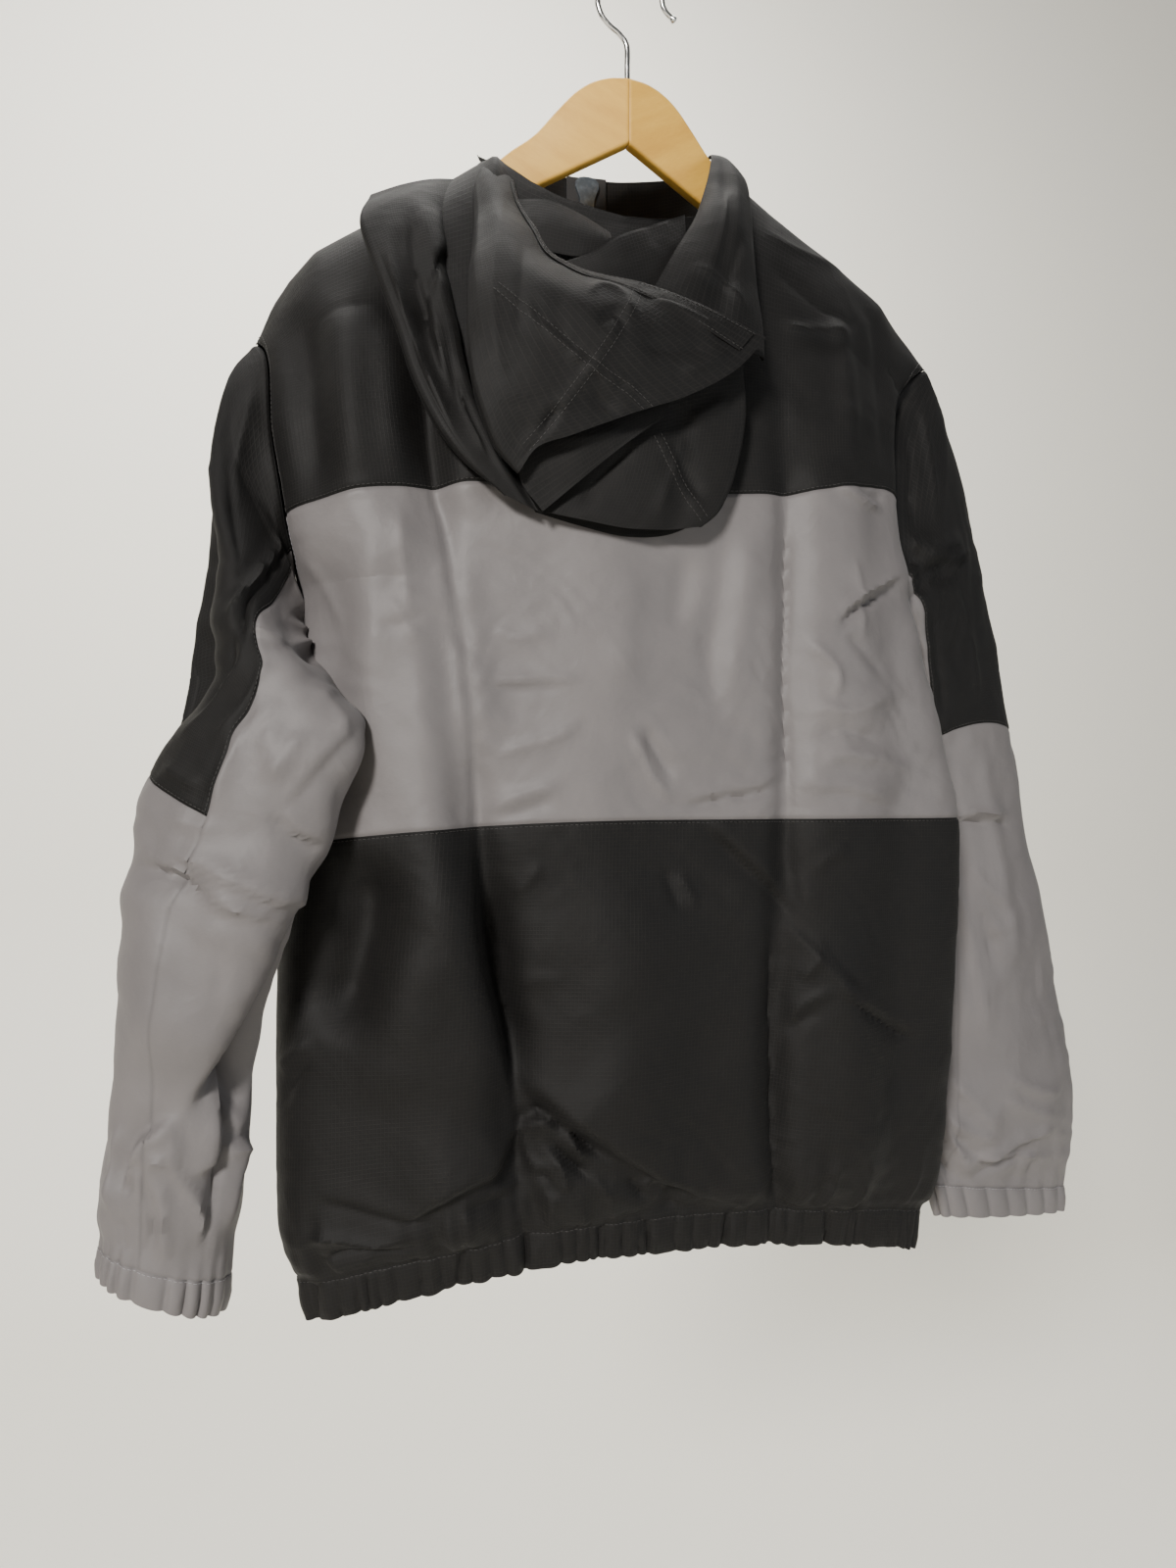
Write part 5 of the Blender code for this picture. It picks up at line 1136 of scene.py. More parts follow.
def casing():
    ends = [-2 - float(zip_s(-ZIP_CHANNEL, np.array(0.5))), 2 - float(zip_s(ZIP_CHANNEL, np.array(0.5)))]
    start, end = np.interp(ends, HEM_THETA, HEM_LENGTH)
    theta = np.interp(np.arange(start, end, 1.25 * FINE), HEM_LENGTH, HEM_THETA)
    level = np.array([1.0, 0.96, 0.9, 0.8, 0.68, 0.55, 0.42, 0.3, 0.2, 0.11, 0.04, 0.0, 0.0, 0.0])
    t, v = np.meshgrid(theta, level)
    s = np.where(np.abs(t) <= 1, t, np.sign(t) * 2 - t)
    on_back = (np.abs(t) <= 1)[..., None]
    back, back_out = body("back", s, v)
    front, front_out = body("front", s, v)
    points, out = np.where(on_back, back, front), np.where(on_back, back_out, front_out)
    lobes = hem_lobes(t + 0.004 * noise(np.stack([t * THETA_MM, v * 24, v], axis=-1), 9.0, 3))
    swell = np.interp(v, [0, 0.25, 0.6, 0.92, 1.0], [0.85, 1.0, 0.95, 0.6, 0.55])
    push = lobes * CASING_LOBES * swell + CASING_BELLY * np.sin(math.pi * np.clip(v, 0, 1))
    push = push + 0.5 * noise(points, 6.0, 8)
    push = push + crease_field(points[..., 0], points[..., 2], CASING_TUCKS, 0.3) * on_back[..., 0]
    points = points + out * push[..., None]
    waver = 0.8 * noise(np.stack([t * THETA_MM, v * 0, v * 0], axis=-1), 8.0, 9)
    points[..., 2] += (waver - CASING_DIP * lobes) * (1 - v)
    roll_in(points, out, ((1.1, 0.2), (2.2, 1.6)))
    return points, out


shell("hem_casing", *casing(), "charcoal", ["start"])
sew("hem_casing", "start", 1.6, "dark")
print("body panels:", len(charts), "hem length, mm:", round(HEM_LENGTH[-1]))

# %% [markdown]
# ## The sleeves
# A sleeve is a row of rings. Its first ring is the armhole's own edge. Each further ring has an
# outer end, an inner end and a bulge to the back and the front of the line between them.

# %% Sleeve tables
RING_COLUMNS = "x_out y_out z_out x_in y_in z_in back front"
SLEEVE_LEFT = table(RING_COLUMNS, [
    (-257, 30, -292, -226, 16, -448, 26, 24),
    (-266, 22, -338, -229, 6, -466, 32, 26),
    (-272, 14, -388, -225, -9, -485, 37, 26),
    (-281, 4, -450, -210, -31, -503, 38, 24),
    (-291, -5, -512, -188, -56, -522, 37, 24),
    (-299, -12, -552, -182, -68, -548, 34, 24),
    (-305, -16, -598, -193, -64, -588, 33, 25),
    (-311, -17, -648, -215, -50, -640, 33, 28),
    (-318, -16, -692, -234, -36, -684, 33, 32),
    (-325, -14, -742, -243, -26, -738, 33, 34),
    (-331, -12, -788, -248, -22, -796, 33, 34),
    (-330, -12, -829, -258, -21, -851, 27, 27),
    (-331, -12, -847, -262, -21, -873, 26, 26),
])
SLEEVE_RIGHT = table(RING_COLUMNS, [
    (262, 43, -264, 217, -3, -441, 14, 32),
    (278, 49, -304, 225, 3, -461, 16, 34),
    (293, 53, -350, 232, 9, -484, 16, 36),
    (306, 56, -396, 237, 14, -509, 16, 38),
    (321, 57, -458, 240, 19, -543, 17, 38),
    (334, 58, -518, 247, 20, -580, 18, 38),
    (343, 58, -584, 250, 22, -625, 20, 38),
    (356, 57, -632, 251, 22, -668, 22, 38),
    (369, 57, -690, 250, 20, -718, 22, 36),
    (381, 57, -752, 248, 18, -770, 22, 34),
    (391, 57, -806, 245, 16, -815, 22, 30),
    (388, 58, -850, 238, 14, -838, 18, 22),
    (384, 58, -880, 240, 14, -852, 13, 15),
    (383, 58, -900, 246, 14, -877, 13, 15),
])
SLEEVES = {"left": (-1, SLEEVE_LEFT, LEFT_SLEEVE_CREASES),
           "right": (1, SLEEVE_RIGHT, RIGHT_SLEEVE_CREASES)}
SLEEVE_SEEDS = {"left": 101, "right": 131}
SLEEVE_SEAMS = {
    "left": table("ring back front", [(0, 138.6, 221.4), (2.5, 122, 238), (4, 89, 275), (5, 86, 286),
                                      (6.3, 87, 290), (8, 76, 290), (11, 74, 290), (14, 74, 290)]),
    "right": table("ring back front", [(0, 138.6, 221.4), (1, 156, 218), (2, 166, 222), (3.5, 169, 230),
                                       (5, 166, 235), (7, 154, 238), (11, 150, 240), (14, 150, 240)]),
}
TOP_SLEEVE_END = {"left": (5.95, 1.4), "right": (5.95, -1.5)}   # ring, and rise to the inside
SLEEVE_START, FRONT_LEAN, RING_POWER = 0.6, 0.25, 0.85
# below the left armpit the spare cloth lies against the body
ARMPIT_SPILL = table("z right", [
    (-680, 0), (-644, -4), (-629, -7), (-612, -6), (-590, -5), (-557, -4), (-540, 1), (-526, 6),
    (-516, 13), (-501, 21), (-489, 25), (-476, 22), (-461, 18), (-437, 17), (-418, 16), (-395, 10),
    (-360, 0)])

# %% Sleeve surface
WRIST_RADIUS, WRIST_TUCKS = 40, 19


def last_ring(side):
    return len(SLEEVES[side][1]["x_out"]) - 1


def armhole(sign, angle):
    """The armhole's edge at an angle round the sleeve: back half up to 180, front half beyond."""
    level = TOP - (TOP - UNDERARM) * (1 - np.cos(angle)) / 2
    on_back = (np.sin(angle) >= 0)[..., None]
    ends = {}
    for side in BODY:
        rim = body_base(side, np.full_like(level, float(sign)), level)
        inside = body_base(side, np.full_like(level, sign * 0.97), level)
        ends[side] = (rim, rim - inside)
    rim = np.where(on_back, ends["back"][0], ends["front"][0])
    away = np.where(on_back, ends["back"][1], ends["front"][1]) + (sign * 8.0, 0, 0)
    return rim + away / np.linalg.norm(away, axis=-1, keepdims=True) * SLEEVE_START


def sleeve_ring(sign, rings, angle, at):
    """A point of a ring: round from its outer end over the back to its inner end and the front."""
    read = {name: along(rings[name], at - 1) for name in rings}
    end_out = np.stack([read["x_out"], read["y_out"], read["z_out"]], axis=-1)
    end_in = np.stack([read["x_in"], read["y_in"], read["z_in"]], axis=-1)
    chord = end_in - end_out
    across = np.stack([chord[..., 1], -chord[..., 0], chord[..., 0] * 0], axis=-1)
    across *= -sign / np.linalg.norm(across, axis=-1, keepdims=True)
    on_back = (np.sin(angle) >= 0)[..., None]
    lean = np.array([sign * FRONT_LEAN, 1.0, 0.0])
    bulge = np.where(on_back, across * read["back"][..., None], lean * read["front"][..., None])
    round_off = np.abs(np.sin(angle))[..., None] ** RING_POWER
    return (end_out + end_in) / 2 - chord / 2 * np.cos(angle)[..., None] + bulge * round_off


def sleeve(sign, rings, angle, t):
    """A point of the sleeve: t is 0 at the armhole and counts the rings."""
    t = np.asarray(t, dtype=float)
    below, one, two = [sleeve_ring(sign, rings, angle, at)
                       for at in (np.maximum(t, 1.0), np.ones_like(t), np.full_like(t, 2.0))]
    start = armhole(sign, angle)
    u = np.clip(t, 0, 1)[..., None]
    leave, arrive = one - start, (two - start) / 2
    rise = u * u * (3 - 2 * u)
    head = (start * (1 - rise) + one * rise + u * (1 - u) ** 2 * leave - u * u * (1 - u) * arrive)
    return np.where(u < 1, head, below)


def wrist_lobes(side, angle):
    """Tucks round the wrist's elastic."""
    seed = SLEEVE_SEEDS[side]
    along_arm = np.full_like(angle, 4.0 * last_ring(side))
    ring = np.stack([np.cos(angle) * WRIST_RADIUS, np.sin(angle) * WRIST_RADIUS, along_arm], axis=-1)
    phase = angle / (2 * math.pi) * WRIST_TUCKS + 0.5 * noise(ring, 25.0, seed)
    return np.abs(np.sin(math.pi * phase)) ** 0.75 * (0.75 + 0.25 * noise(ring, 14.0, seed + 1))


# %% Sleeve cloth with all its relief
ARM_FINE, ARM_COARSE = (2.3, 17.0), (3.0, 44.0)              # height and size of the facets
ARM_CREASE_HEIGHT = 1.6
RING_HEIGHT, WRIST_LOBE, WRIST_REACH, WRIST_PLEAT, PLEAT_BAND = 42, 2.6, 13, 1.2, 14


def sleeve_cloth(side, u, v):
    """Sleeve with its creases, its facets and the fading gathers above the cuff."""
    sign, rings, rows = SLEEVES[side]
    points = sleeve(sign, rings, u, v)
    out = facing(lambda a, b: sleeve(sign, rings, a, b), u, v, 0.06, 0.08) * sign
    x, z = points[..., 0], points[..., 2]
    on_back = smooth_step((np.sin(u) + 0.05) / 0.35)
    on_front = smooth_step((-np.sin(u) - 0.05) / 0.35)
    push = ARM_CREASE_HEIGHT * crease_field(x, z, rows) * on_back
    push = push + crease_field(x - 7 * sign, z + 18, rows[::2]) * on_front
    seed = SLEEVE_SEEDS[side]
    flat = points * (1, 0.5, 1)
    push = push + ARM_FINE[0] * crumple(flat, ARM_FINE[1], seed) * patchy(flat, 45.0, seed + 1)
    push = push + ARM_COARSE[0] * crumple(flat, ARM_COARSE[1], seed + 2, waves=5) * smooth_step(v / 1.5)
    above = np.maximum(last_ring(side) - v, 0) * RING_HEIGHT
    push = push * smooth_step(above / PLEAT_BAND)
    push = push + wrist_lobes(side, u) * WRIST_LOBE * np.exp(-above / WRIST_REACH)
    pleats = noise(np.stack([x, u * 12, z * 0.3], axis=-1), 9.0, seed + 4)
    push = push + WRIST_PLEAT * pleats * hump(above - PLEAT_BAND, PLEAT_BAND)
    push = push * smooth_step((v + 0.12) / 0.5)
    if side == "left":
        spill = along(ARMPIT_SPILL["right"], z, ARMPIT_SPILL["z"])
        spill = spill * smooth_step((np.sin(u) + 0.6) / 0.6) * smooth_step(v)
        points = points + spill[..., None] * (1.0, -0.5, 0.0)
    return points + out * push[..., None], out


def share_grid(ends, zone, u_share, v_share):
    """Points between two seams; each end may itself be a function of the other direction."""
    a, b = np.meshgrid(u_share, v_share)
    pick = lambda end, at: end(at) if callable(end) else np.full_like(at, end)
    v = 0.5 * (pick(zone[0], a * 0) + pick(zone[1], a * 0))
    for _ in range(6):
        u = pick(ends[0], v) * (1 - a) + pick(ends[1], v) * a
        v = pick(zone[0], u) * (1 - b) + pick(zone[1], u) * b
    return u, v


# %% Sleeve pieces
def make_sleeve(side):
    seams = SLEEVE_SEAMS[side]
    cuff_from = last_ring(side)
    seam_ring, rise = TOP_SLEEVE_END[side]
    seam_at = lambda u: seam_ring + rise * (1 - np.cos(u)) / 2
    back_seam = lambda v: np.radians(along(seams["back"], v, seams["ring"]))
    front_seam = lambda v: np.radians(along(seams["front"], v, seams["ring"]) - 360)
    under_front = lambda v: front_seam(v) + 2 * math.pi
    cuts = {    # ends round the arm, zone along it, width, length, cloth, depth of its seams
        "top": ((front_seam, back_seam), (0, seam_at), 210, 290, "charcoal", 0.8),
        "lower": ((front_seam, back_seam), (seam_at, cuff_from), 170, 300, "grey", 0.3),
        "under": ((back_seam, under_front), (0, cuff_from), 130, 480, "grey", 0.3),
    }
    for cut, (ends, zone, width, length, cloth, groove) in cuts.items():
        u, v = share_grid(ends, zone, spread(0, 1, width, 2.6), spread(0, 1, length, 2.6))
        shell(f"sleeve_{side}_{cut}", *sleeve_cloth(side, u, v), cloth, ALL_BORDERS, groove=groove)
    sew(f"sleeve_{side}_top", "end", 2.0, "dark")
    sew(f"sleeve_{side}_top", "right", 2.0, "dark")


for side in SLEEVES:
    make_sleeve(side)

# %% [markdown]
# A cuff is a short casing like the hem's. It is one closed ring, so its grid wraps round.

# %% Cuffs
CUFF_BELLY, CUFF_DIP = 0.8, 0.9


def make_cuff(side):
    sign, rings, _ = SLEEVES[side]
    down = np.array([0.0, 0.05, 0.14, 0.27, 0.4, 0.54, 0.68, 0.8, 0.9, 0.965, 0.965, 0.965])
    level = last_ring(side) + down
    angle = np.linspace(0, 2 * math.pi, int(240 / FINE), endpoint=False)
    u, v = np.meshgrid(angle, level)
    surface = lambda a, b: sleeve(sign, rings, a, b)
    points, out = surface(u, v), facing(surface, u, v, 0.1, 0.12) * sign
    lobes = wrist_lobes(side, u)
    down = v - last_ring(side)
    height = np.interp(down, [0, 0.1, 0.4, 1], [2.6, 2.8, 4.0, 3.4])
    push = lobes * height + CUFF_BELLY * np.sin(math.pi * down)
    points = points + out * push[..., None]
    points[..., 2] -= CUFF_DIP * lobes * down
    roll_in(points, out, ((1.0, 0.2), (2.0, 1.5)))
    shell(f"cuff_{side}", points, out, "grey", ["start"], wrap=True)
    sew(f"cuff_{side}", "start", 1.6, "grey")


for side in SLEEVES:
    make_cuff(side)

# %% [markdown]
# ## The hood
# Each sheet of the hood hangs between four edges, given from left to right or from top to bottom.
# A belly and a few large folds shape it, some borders roll back, and fine creases come on top.

# %% Hood tables
HOOD_SHEETS = {
    "hood_under": {
        "top": [(-62, -21, -173), (-30, -33, -191), (0, -38, -195), (30, -33, -190), (64, -20, -171)],
        "bottom": [(-78, -65, -391), (-50, -66, -398), (-19, -66, -403), (8, -66, -400), (24, -66, -393)],
        "left": [(-84, -38, -225), (-112, -54, -290), (-104, -63, -350)],
        "right": [(70, -34, -225), (58, -54, -290), (38, -63, -350)],
        "size": (170, 220),
    },
    "hood_pouch": {
        "top": [(-52, -69, -338), (-20, -71, -318), (15, -71, -298), (54, -69, -286)],
        "bottom": [(-73, -71, -392), (-50, -74, -396), (-22, -76, -400), (4, -76, -399), (25, -74, -396)],
        "left": [(-60, -69, -365)],
        "right": [(56, -69, -325), (51, -70, -351), (44, -72, -371), (34, -74, -388)],
        "bulge": 3.0, "curl": {"right": 3.2}, "size": (120, 100),
    },
    "hood_gusset": {
        "top": [(-86, -77, -352), (-55, -80, -338), (-22, -80, -324), (4, -77, -314)],
        "bottom": [(-76, -76, -393), (-54, -80, -374), (-28, -82, -352), (0, -80, -331)],
        "left": [(-90, -76, -373)],
        "right": [(3, -79, -322)],
        "bulge": 1.0, "size": (100, 40),
    },
    "hood_flap": {
        "top": [(-106, 12, -151), (-97, 15.5, -139), (-80, 18, -137)],
        "bottom": [(-92, -86, -372), (-83, -89, -359), (-63, -93, -351), (-27, -95, -336),
                   (11, -93, -321), (47, -87, -298), (67, -80, -276)],
        "left": [(-107, -10, -174), (-109, -26, -197), (-113, -44, -222), (-118, -62, -248),
                 (-120, -74, -270), (-121, -83, -294), (-119, -87, -315), (-112, -88, -338),
                 (-103, -87, -358)],
        "right": [(-80, 0, -152), (-79, -20, -181), (-72, -42, -209), (-66, -56, -228),
                  (-50, -66, -240), (-11, -75, -249), (32, -81, -264)],
        "bulge": 9.0, "curl": {"left": 6.0}, "size": (150, 260),
    },
    "hood_right": {
        "top": [(62, 13, -117), (71, 15, -114.5), (81, 14, -119)],
        "bottom": [(-8, -68, -256), (22, -72, -268), (46, -73, -278), (70, -68, -284)],
        "left": [(61, 2, -120), (55, -12, -138), (44, -28, -165), (34, -42, -186), (14, -57, -218)],
        "right": [(81, -12, -141), (78, -28, -168), (75, -40, -200), (73, -50, -232), (72, -60, -260)],
        "bulge": 8.0, "curl": {"right": 5.0}, "size": (60, 190),
    },
    "hood_drape": {
        "top": [(-170, 12, -172), (-150, 14, -162), (-131, 14, -156), (-110, 13, -154)],
        "bottom": [(-97, -72, -384), (-88, -73, -388), (-78, -74, -392)],
        "left": [(-177, -12, -198), (-170, -27, -226), (-163, -39, -251), (-154, -48, -281),
                 (-148, -54, -304), (-139, -62, -328), (-129, -68, -348), (-116, -71, -366)],
        "right": [(-112, -8, -180), (-112, -20, -225), (-108, -30, -275), (-101, -48, -330),
                  (-90, -70, -368)],
        "bulge": 5.0, "curl": {"left": 5.0}, "size": (60, 260),
    },
    "hood_inner_left": {
        "top": [(-80, -22, -180), (-62, -30, -182), (-44, -35, -190), (-24, -42, -204)],
        "bottom": [(-88, -36, -216), (-66, -45, -222), (-46, -48, -224), (-26, -48, -216)],
        "left": [(-85, -29, -198)],
        "right": [(-24, -46, -210)],
        "bulge": 3.0, "size": (70, 40),
    },
    "hood_inner_right": {
        "top": [(-62, -53, -233), (-40, -56, -224), (-22, -54, -211), (0, -47, -199), (28, -38, -184)],
        "bottom": [(-46, -62, -248), (-28, -62, -250), (-10, -60, -248), (8, -56, -240), (20, -51, -226)],
        "left": [(-56, -58, -241)],
        "right": [(26, -45, -205)],
        "bulge": 2.0, "size": (100, 50),
    },
}
HOOD_FOLDS = {   # in fractions of the sheet: from (u, v) to (u, v), depth, width
    "hood_drape": [((0.88, 0.15), (0.92, 0.70), 14, 0.20), ((0.25, 0.0), (0.40, 0.5), -4, 0.12),
                   ((0.58, 0.20), (0.68, 0.72), -10, 0.15)],
    "hood_flap": [((0.25, 0.25), (0.35, 0.95), 1.5, 0.14), ((0.62, 0.72), (0.98, 0.84), -2, 0.12)],
    "hood_right": [((0.35, 0.1), (0.55, 0.9), 4, 0.15)],
    "hood_pouch": [((0.55, 0.1), (0.80, 0.95), 3, 0.10)],
}
HOOD_SEAMS = {   # narrow grooves where two cuts of the hood are sewn together, as (x, z)
    "hood_flap": [[(-105, -264), (-84, -284), (-50, -310), (-26, -323), (-8, -338)],
                  [(-14, -248), (-21, -262), (-34, -285), (-50, -309), (-73, -340), (-88, -358)]],
    "hood_pouch": [[(-2, -341), (12, -369), (27, -390)]],
}
SEAM_GROOVE, SEAM_PUCKERS = (-0.9, 1.1, 0, 0), (1.0, 7.0, 0, 0)
HOOD_FINE, HOOD_COARSE = (0.5, 15.0), (1.1, 36.0)            # height and size of the facets
SHEET_STEP = 2.2

# %% Hood surface
def curve(points, t):
    """A smooth curve through points, read at fractions of its length."""
    length = line_lengths(np.array(points, dtype=float))
    return along(points, t * length[-1], length)


def patch(edges, u, v):
    """A sheet that hangs between four edges; v runs from the top (0) to the bottom (1)."""
    u, v = np.clip(u, 0, 1), np.clip(v, 0, 1)
    top, bottom = np.array(edges["top"], dtype=float), np.array(edges["bottom"], dtype=float)
    left = [top[0]] + edges["left"] + [bottom[0]]
    right = [top[-1]] + edges["right"] + [bottom[-1]]
    a, b = u[..., None], v[..., None]
    across = curve(top, u) * (1 - b) + curve(bottom, u) * b
    down = curve(left, v) * (1 - a) + curve(right, v) * a
    corners = (top[0] * (1 - a) * (1 - b) + top[-1] * a * (1 - b)
               + bottom[0] * (1 - a) * b + bottom[-1] * a * b)
    return across + down - corners


def hood_point(name, u, v):
    """A point of a hood sheet with its belly and its large folds."""
    sheet = HOOD_SHEETS[name]
    u, v = np.clip(u, 0, 1), np.clip(v, 0, 1)
    point = patch(sheet, u, v)
    push = sheet.get("bulge", 0) * np.sin(math.pi * u) * np.sin(math.pi * v)
    for (u0, v0), (u1, v1), depth, width in HOOD_FOLDS.get(name, []):
        run = np.array([u1 - u0, v1 - v0])
        reach = np.clip(((u - u0) * run[0] + (v - v0) * run[1]) / (run @ run), 0, 1)
        away = np.hypot(u - u0 - run[0] * reach, v - v0 - run[1] * reach)
        push = push - depth * hump(away, width) * smooth_step(v / 0.35)
    point[..., 1] -= push
    return point


def hood_out(name, u, v):
    """The direction that points out of a hood sheet."""
    return -facing(lambda a, b: hood_point(name, a, b), u, v, 0.01, 0.01)


def hood_cloth(name, u, v):
    """A hood sheet with its creases, its sewn grooves and its facets."""
    points, out = hood_point(name, u, v), hood_out(name, u, v)
    x, z = points[..., 0], points[..., 2]
    calm = smooth_step(np.minimum(np.minimum(u, 1 - u) / 0.06, np.minimum(v, 1 - v) / 0.05))
    push = crease_field(x, z, HOOD_CREASES.get(name, []))
    seed = 200 + len(name) * 3
    push = push + HOOD_FINE[0] * crumple(points, HOOD_FINE[1], seed) * patchy(points, 40.0, seed + 1)
    push = push + HOOD_COARSE[0] * crumple(points, HOOD_COARSE[1], seed + 2, waves=5)
    for line in HOOD_SEAMS.get(name, []):
        push = push + crease_field(x, z, [(*SEAM_GROOVE, *line)], 0.2)
        push = push + 0.9 * noise(points, 7.0, 41) * crease_field(x, z, [(*SEAM_PUCKERS, *line)], 0.0)
    return points + out * (push * (0.15 + 0.85 * calm))[..., None], out


LEAST_CURL = 2.2


def curled(points, out, side, radius):
    """Roll one border of a sheet backwards, as a soft fold of the given radius."""
    edge, inside = (0, 1) if side == "left" else (-1, -2)
    rim, normal = points[:, edge], out[:, edge]
    away = rim - points[:, inside]
    away -= normal * np.sum(away * normal, axis=1, keepdims=True)
    away /= np.linalg.norm(away, axis=1, keepdims=True)
    reach = np.linspace(0, 1, len(rim))[:, None]
    opening = smooth_step(reach / 0.35) * smooth_step((1 - reach) / 0.15)
    size = LEAST_CURL + (radius - LEAST_CURL) * opening
    extra, extra_out = [], []
    for degrees in (14, 30, 47, 65, 84, 104, 125, 145):
        turn = math.radians(degrees)
        roll = rim + away * (size * math.sin(turn)) - normal * (size * (1 - math.cos(turn)))
        extra.append(roll[:, None])
        extra_out.append((normal * math.cos(turn) + away * math.sin(turn))[:, None])
    if side == "left":
        return np.hstack(extra[::-1] + [points]), np.hstack(extra_out[::-1] + [out])
    return np.hstack([points] + extra), np.hstack([out] + extra_out)


# %% Hood sheets
for name, sheet in HOOD_SHEETS.items():
    width, length = sheet["size"]
    u, v = np.meshgrid(spread(0, 1, width, SHEET_STEP), spread(0, 1, length, SHEET_STEP))
    points, out = hood_cloth(name, u, v)
    for side, radius in sheet.get("curl", {}).items():
        points, out = curled(points, out, side, radius)
    shell(name, points, out, "charcoal")

# %% [markdown]
# The face opening has a casing of its own, a narrow doubled strip on the flap's upper right
# border, sewn down with two rows of stitches and slightly gathered.

# %% Casing of the face opening
RIM_WIDTH, RIM_LIFT = 0.11, 0.7


def rim():
    across = spread(1 - RIM_WIDTH, 0.995, 16, 1.3, (0.4, 0.9, 1.6))
    u, v = np.meshgrid(across, spread(0.14, 0.97, 230, 1.8))
    points, out = hood_point("hood_flap", u, v), hood_out("hood_flap", u, v)
    arch = np.sin(math.pi * (u - u.min()) / (u.max() - u.min()))
    swell = 0.6 * arch ** 0.6 + 0.5 * noise(points, 8.0, 61) * arch
    return points + out * (RIM_LIFT + swell)[..., None], out


shell("hood_rim", *rim(), "charcoal")
for border in ("left", "right"):
    sew("hood_rim", border, 2.2, "dark")

# %% Stitches along the hood's seams
def sew_across(name, path, offset):
    """A line of thread on a sheet of the hood, beside a seam whose points are (x, z)."""
    path = np.array(path, dtype=float)
    line = along(path, np.linspace(0, len(path) - 1, 60))
    run = np.gradient(line, axis=0)
    run /= np.linalg.norm(run, axis=1, keepdims=True)
    line = line + np.stack([-run[:, 1], run[:, 0]], axis=1) * offset
    item = bpy.data.objects[name + "_cloth"]
    found = []
    for x, z in line:
        hit, place, normal, _ = item.ray_cast(Vector((x, -300, z)) * MM, Vector((0, 1, 0)))
        if hit:
            found.append(np.array(place) / MM + np.array(normal) * THREAD_LIFT)
    if len(found) > 3:
        threads["dark"].append(np.array(found))


bpy.context.view_layer.update()
for name, lines in HOOD_SEAMS.items():
    for line in lines:
        for offset in (-2.6, 2.6):
            sew_across(name, line, offset)

# %% [markdown]
# ## The collar and the zip
# Inside the neck the two collar fronts stand with the zip between them.

# %% Collar
COLLAR = {
    "left": {
        "bottom": [(-15.5, 77, -184.8), (-28, 76.5, -182.4), (-45, 69, -173.5), (-70, 51, -156.5),
                   (-84, 36, -145), (-95, 24, -136)],
        "top": [(-15.5, 77, -110), (-30, 76.4, -110), (-50, 69, -111), (-80, 51, -121), (-99, 27, -130)]},
    "right": {
        "bottom": [(-2.5, 77, -184.8), (14, 76.8, -183.2), (28, 75, -180.5), (45, 68.5, -172.5),
                   (70, 51, -155.5), (84, 36, -144), (95, 24, -135)],
        "top": [(-2.5, 77, -109), (13, 76.8, -108.6), (26, 75, -108), (45, 70, -107),
                (78, 50, -113), (98, 26, -124)]},
}


def collar_sheet(side):
    """The four edges of a collar front."""
    edges = COLLAR[side]
    middles = [tuple((np.array(edges["top"][i]) + edges["bottom"][i]) / 2) for i in (0, -1)]
    return {**edges, "left": middles[:1], "right": middles[1:]}


def collar_point(sheet, u, v):
    """A point of a collar front, and the direction out of it."""
    out = facing(lambda a, b: patch(sheet, a, b), u, v, 0.01, 0.01)
    return patch(sheet, u, v), out * np.sign(out[..., 1:2].mean())


for side in COLLAR:
    u, v = np.meshgrid(spread(0, 1, 125, 2.6), spread(0, 1, 60, 2.6))
    points, out = collar_point(collar_sheet(side), u, v)
    calm = smooth_step(np.minimum(u, 1 - u) / 0.15) * smooth_step(np.minimum(v, 1 - v) / 0.1)
    push = 1.0 * crumple(points, 26.0, 301 + len(side), waves=5) + 0.5 * crumple(points, 12.0, 310)
    points = points + out * (push * calm)[..., None]
    points = np.concatenate([points, points[-1:] - (0, 1.4, 4.5)])    # its lower edge is tucked in
    out = np.concatenate([out, out[-1:]])
    shell(f"collar_{side}", points, out, "charcoal", ["start", "left", "right"], groove=0.6)
    sew(f"collar_{side}", "start", 3.0, "dark")

# %% Zip tapes
SLIDER_X, SLIDER_TOP = -9.0, -110.0


def tape_edges(sign, rows):
    """The two long edges of a tape behind the front's flat strip, from the hem to the collar's top."""
    levels = np.linspace(HEM + 0.03, TOP - 0.04, rows)
    near, far = [body("front", zip_s(sign * reach, levels), levels) for reach in (ZIP_CHANNEL, ZIP_STRIP)]
    v = np.linspace(1, 0, rows // 6)
    sheet = collar_sheet("left" if sign < 0 else "right")
    collar_near, collar_far = [collar_point(sheet, np.full(len(v), u), v) for u in (0.0, 0.1)]
    out = np.concatenate([near[1], collar_near[1][1:]])
    edges = []
    for reach in (TAPE_INNER, TAPE_OUTER):
        share = (reach - ZIP_CHANNEL) / (ZIP_STRIP - ZIP_CHANNEL)
        low = near[0] * (1 - share) + far[0] * share
        x_near, x_far = collar_near[0][:, 0], collar_far[0][:, 0]
        share = ((SLIDER_X + sign * reach - x_near) / (x_far - x_near))[:, None]
        high = collar_near[0] * (1 - share) + collar_far[0] * share
        edges.append(np.concatenate([low, high[1:]]) - out * (CAD_CLOTH + TAPE_AIR))
    return edges, out


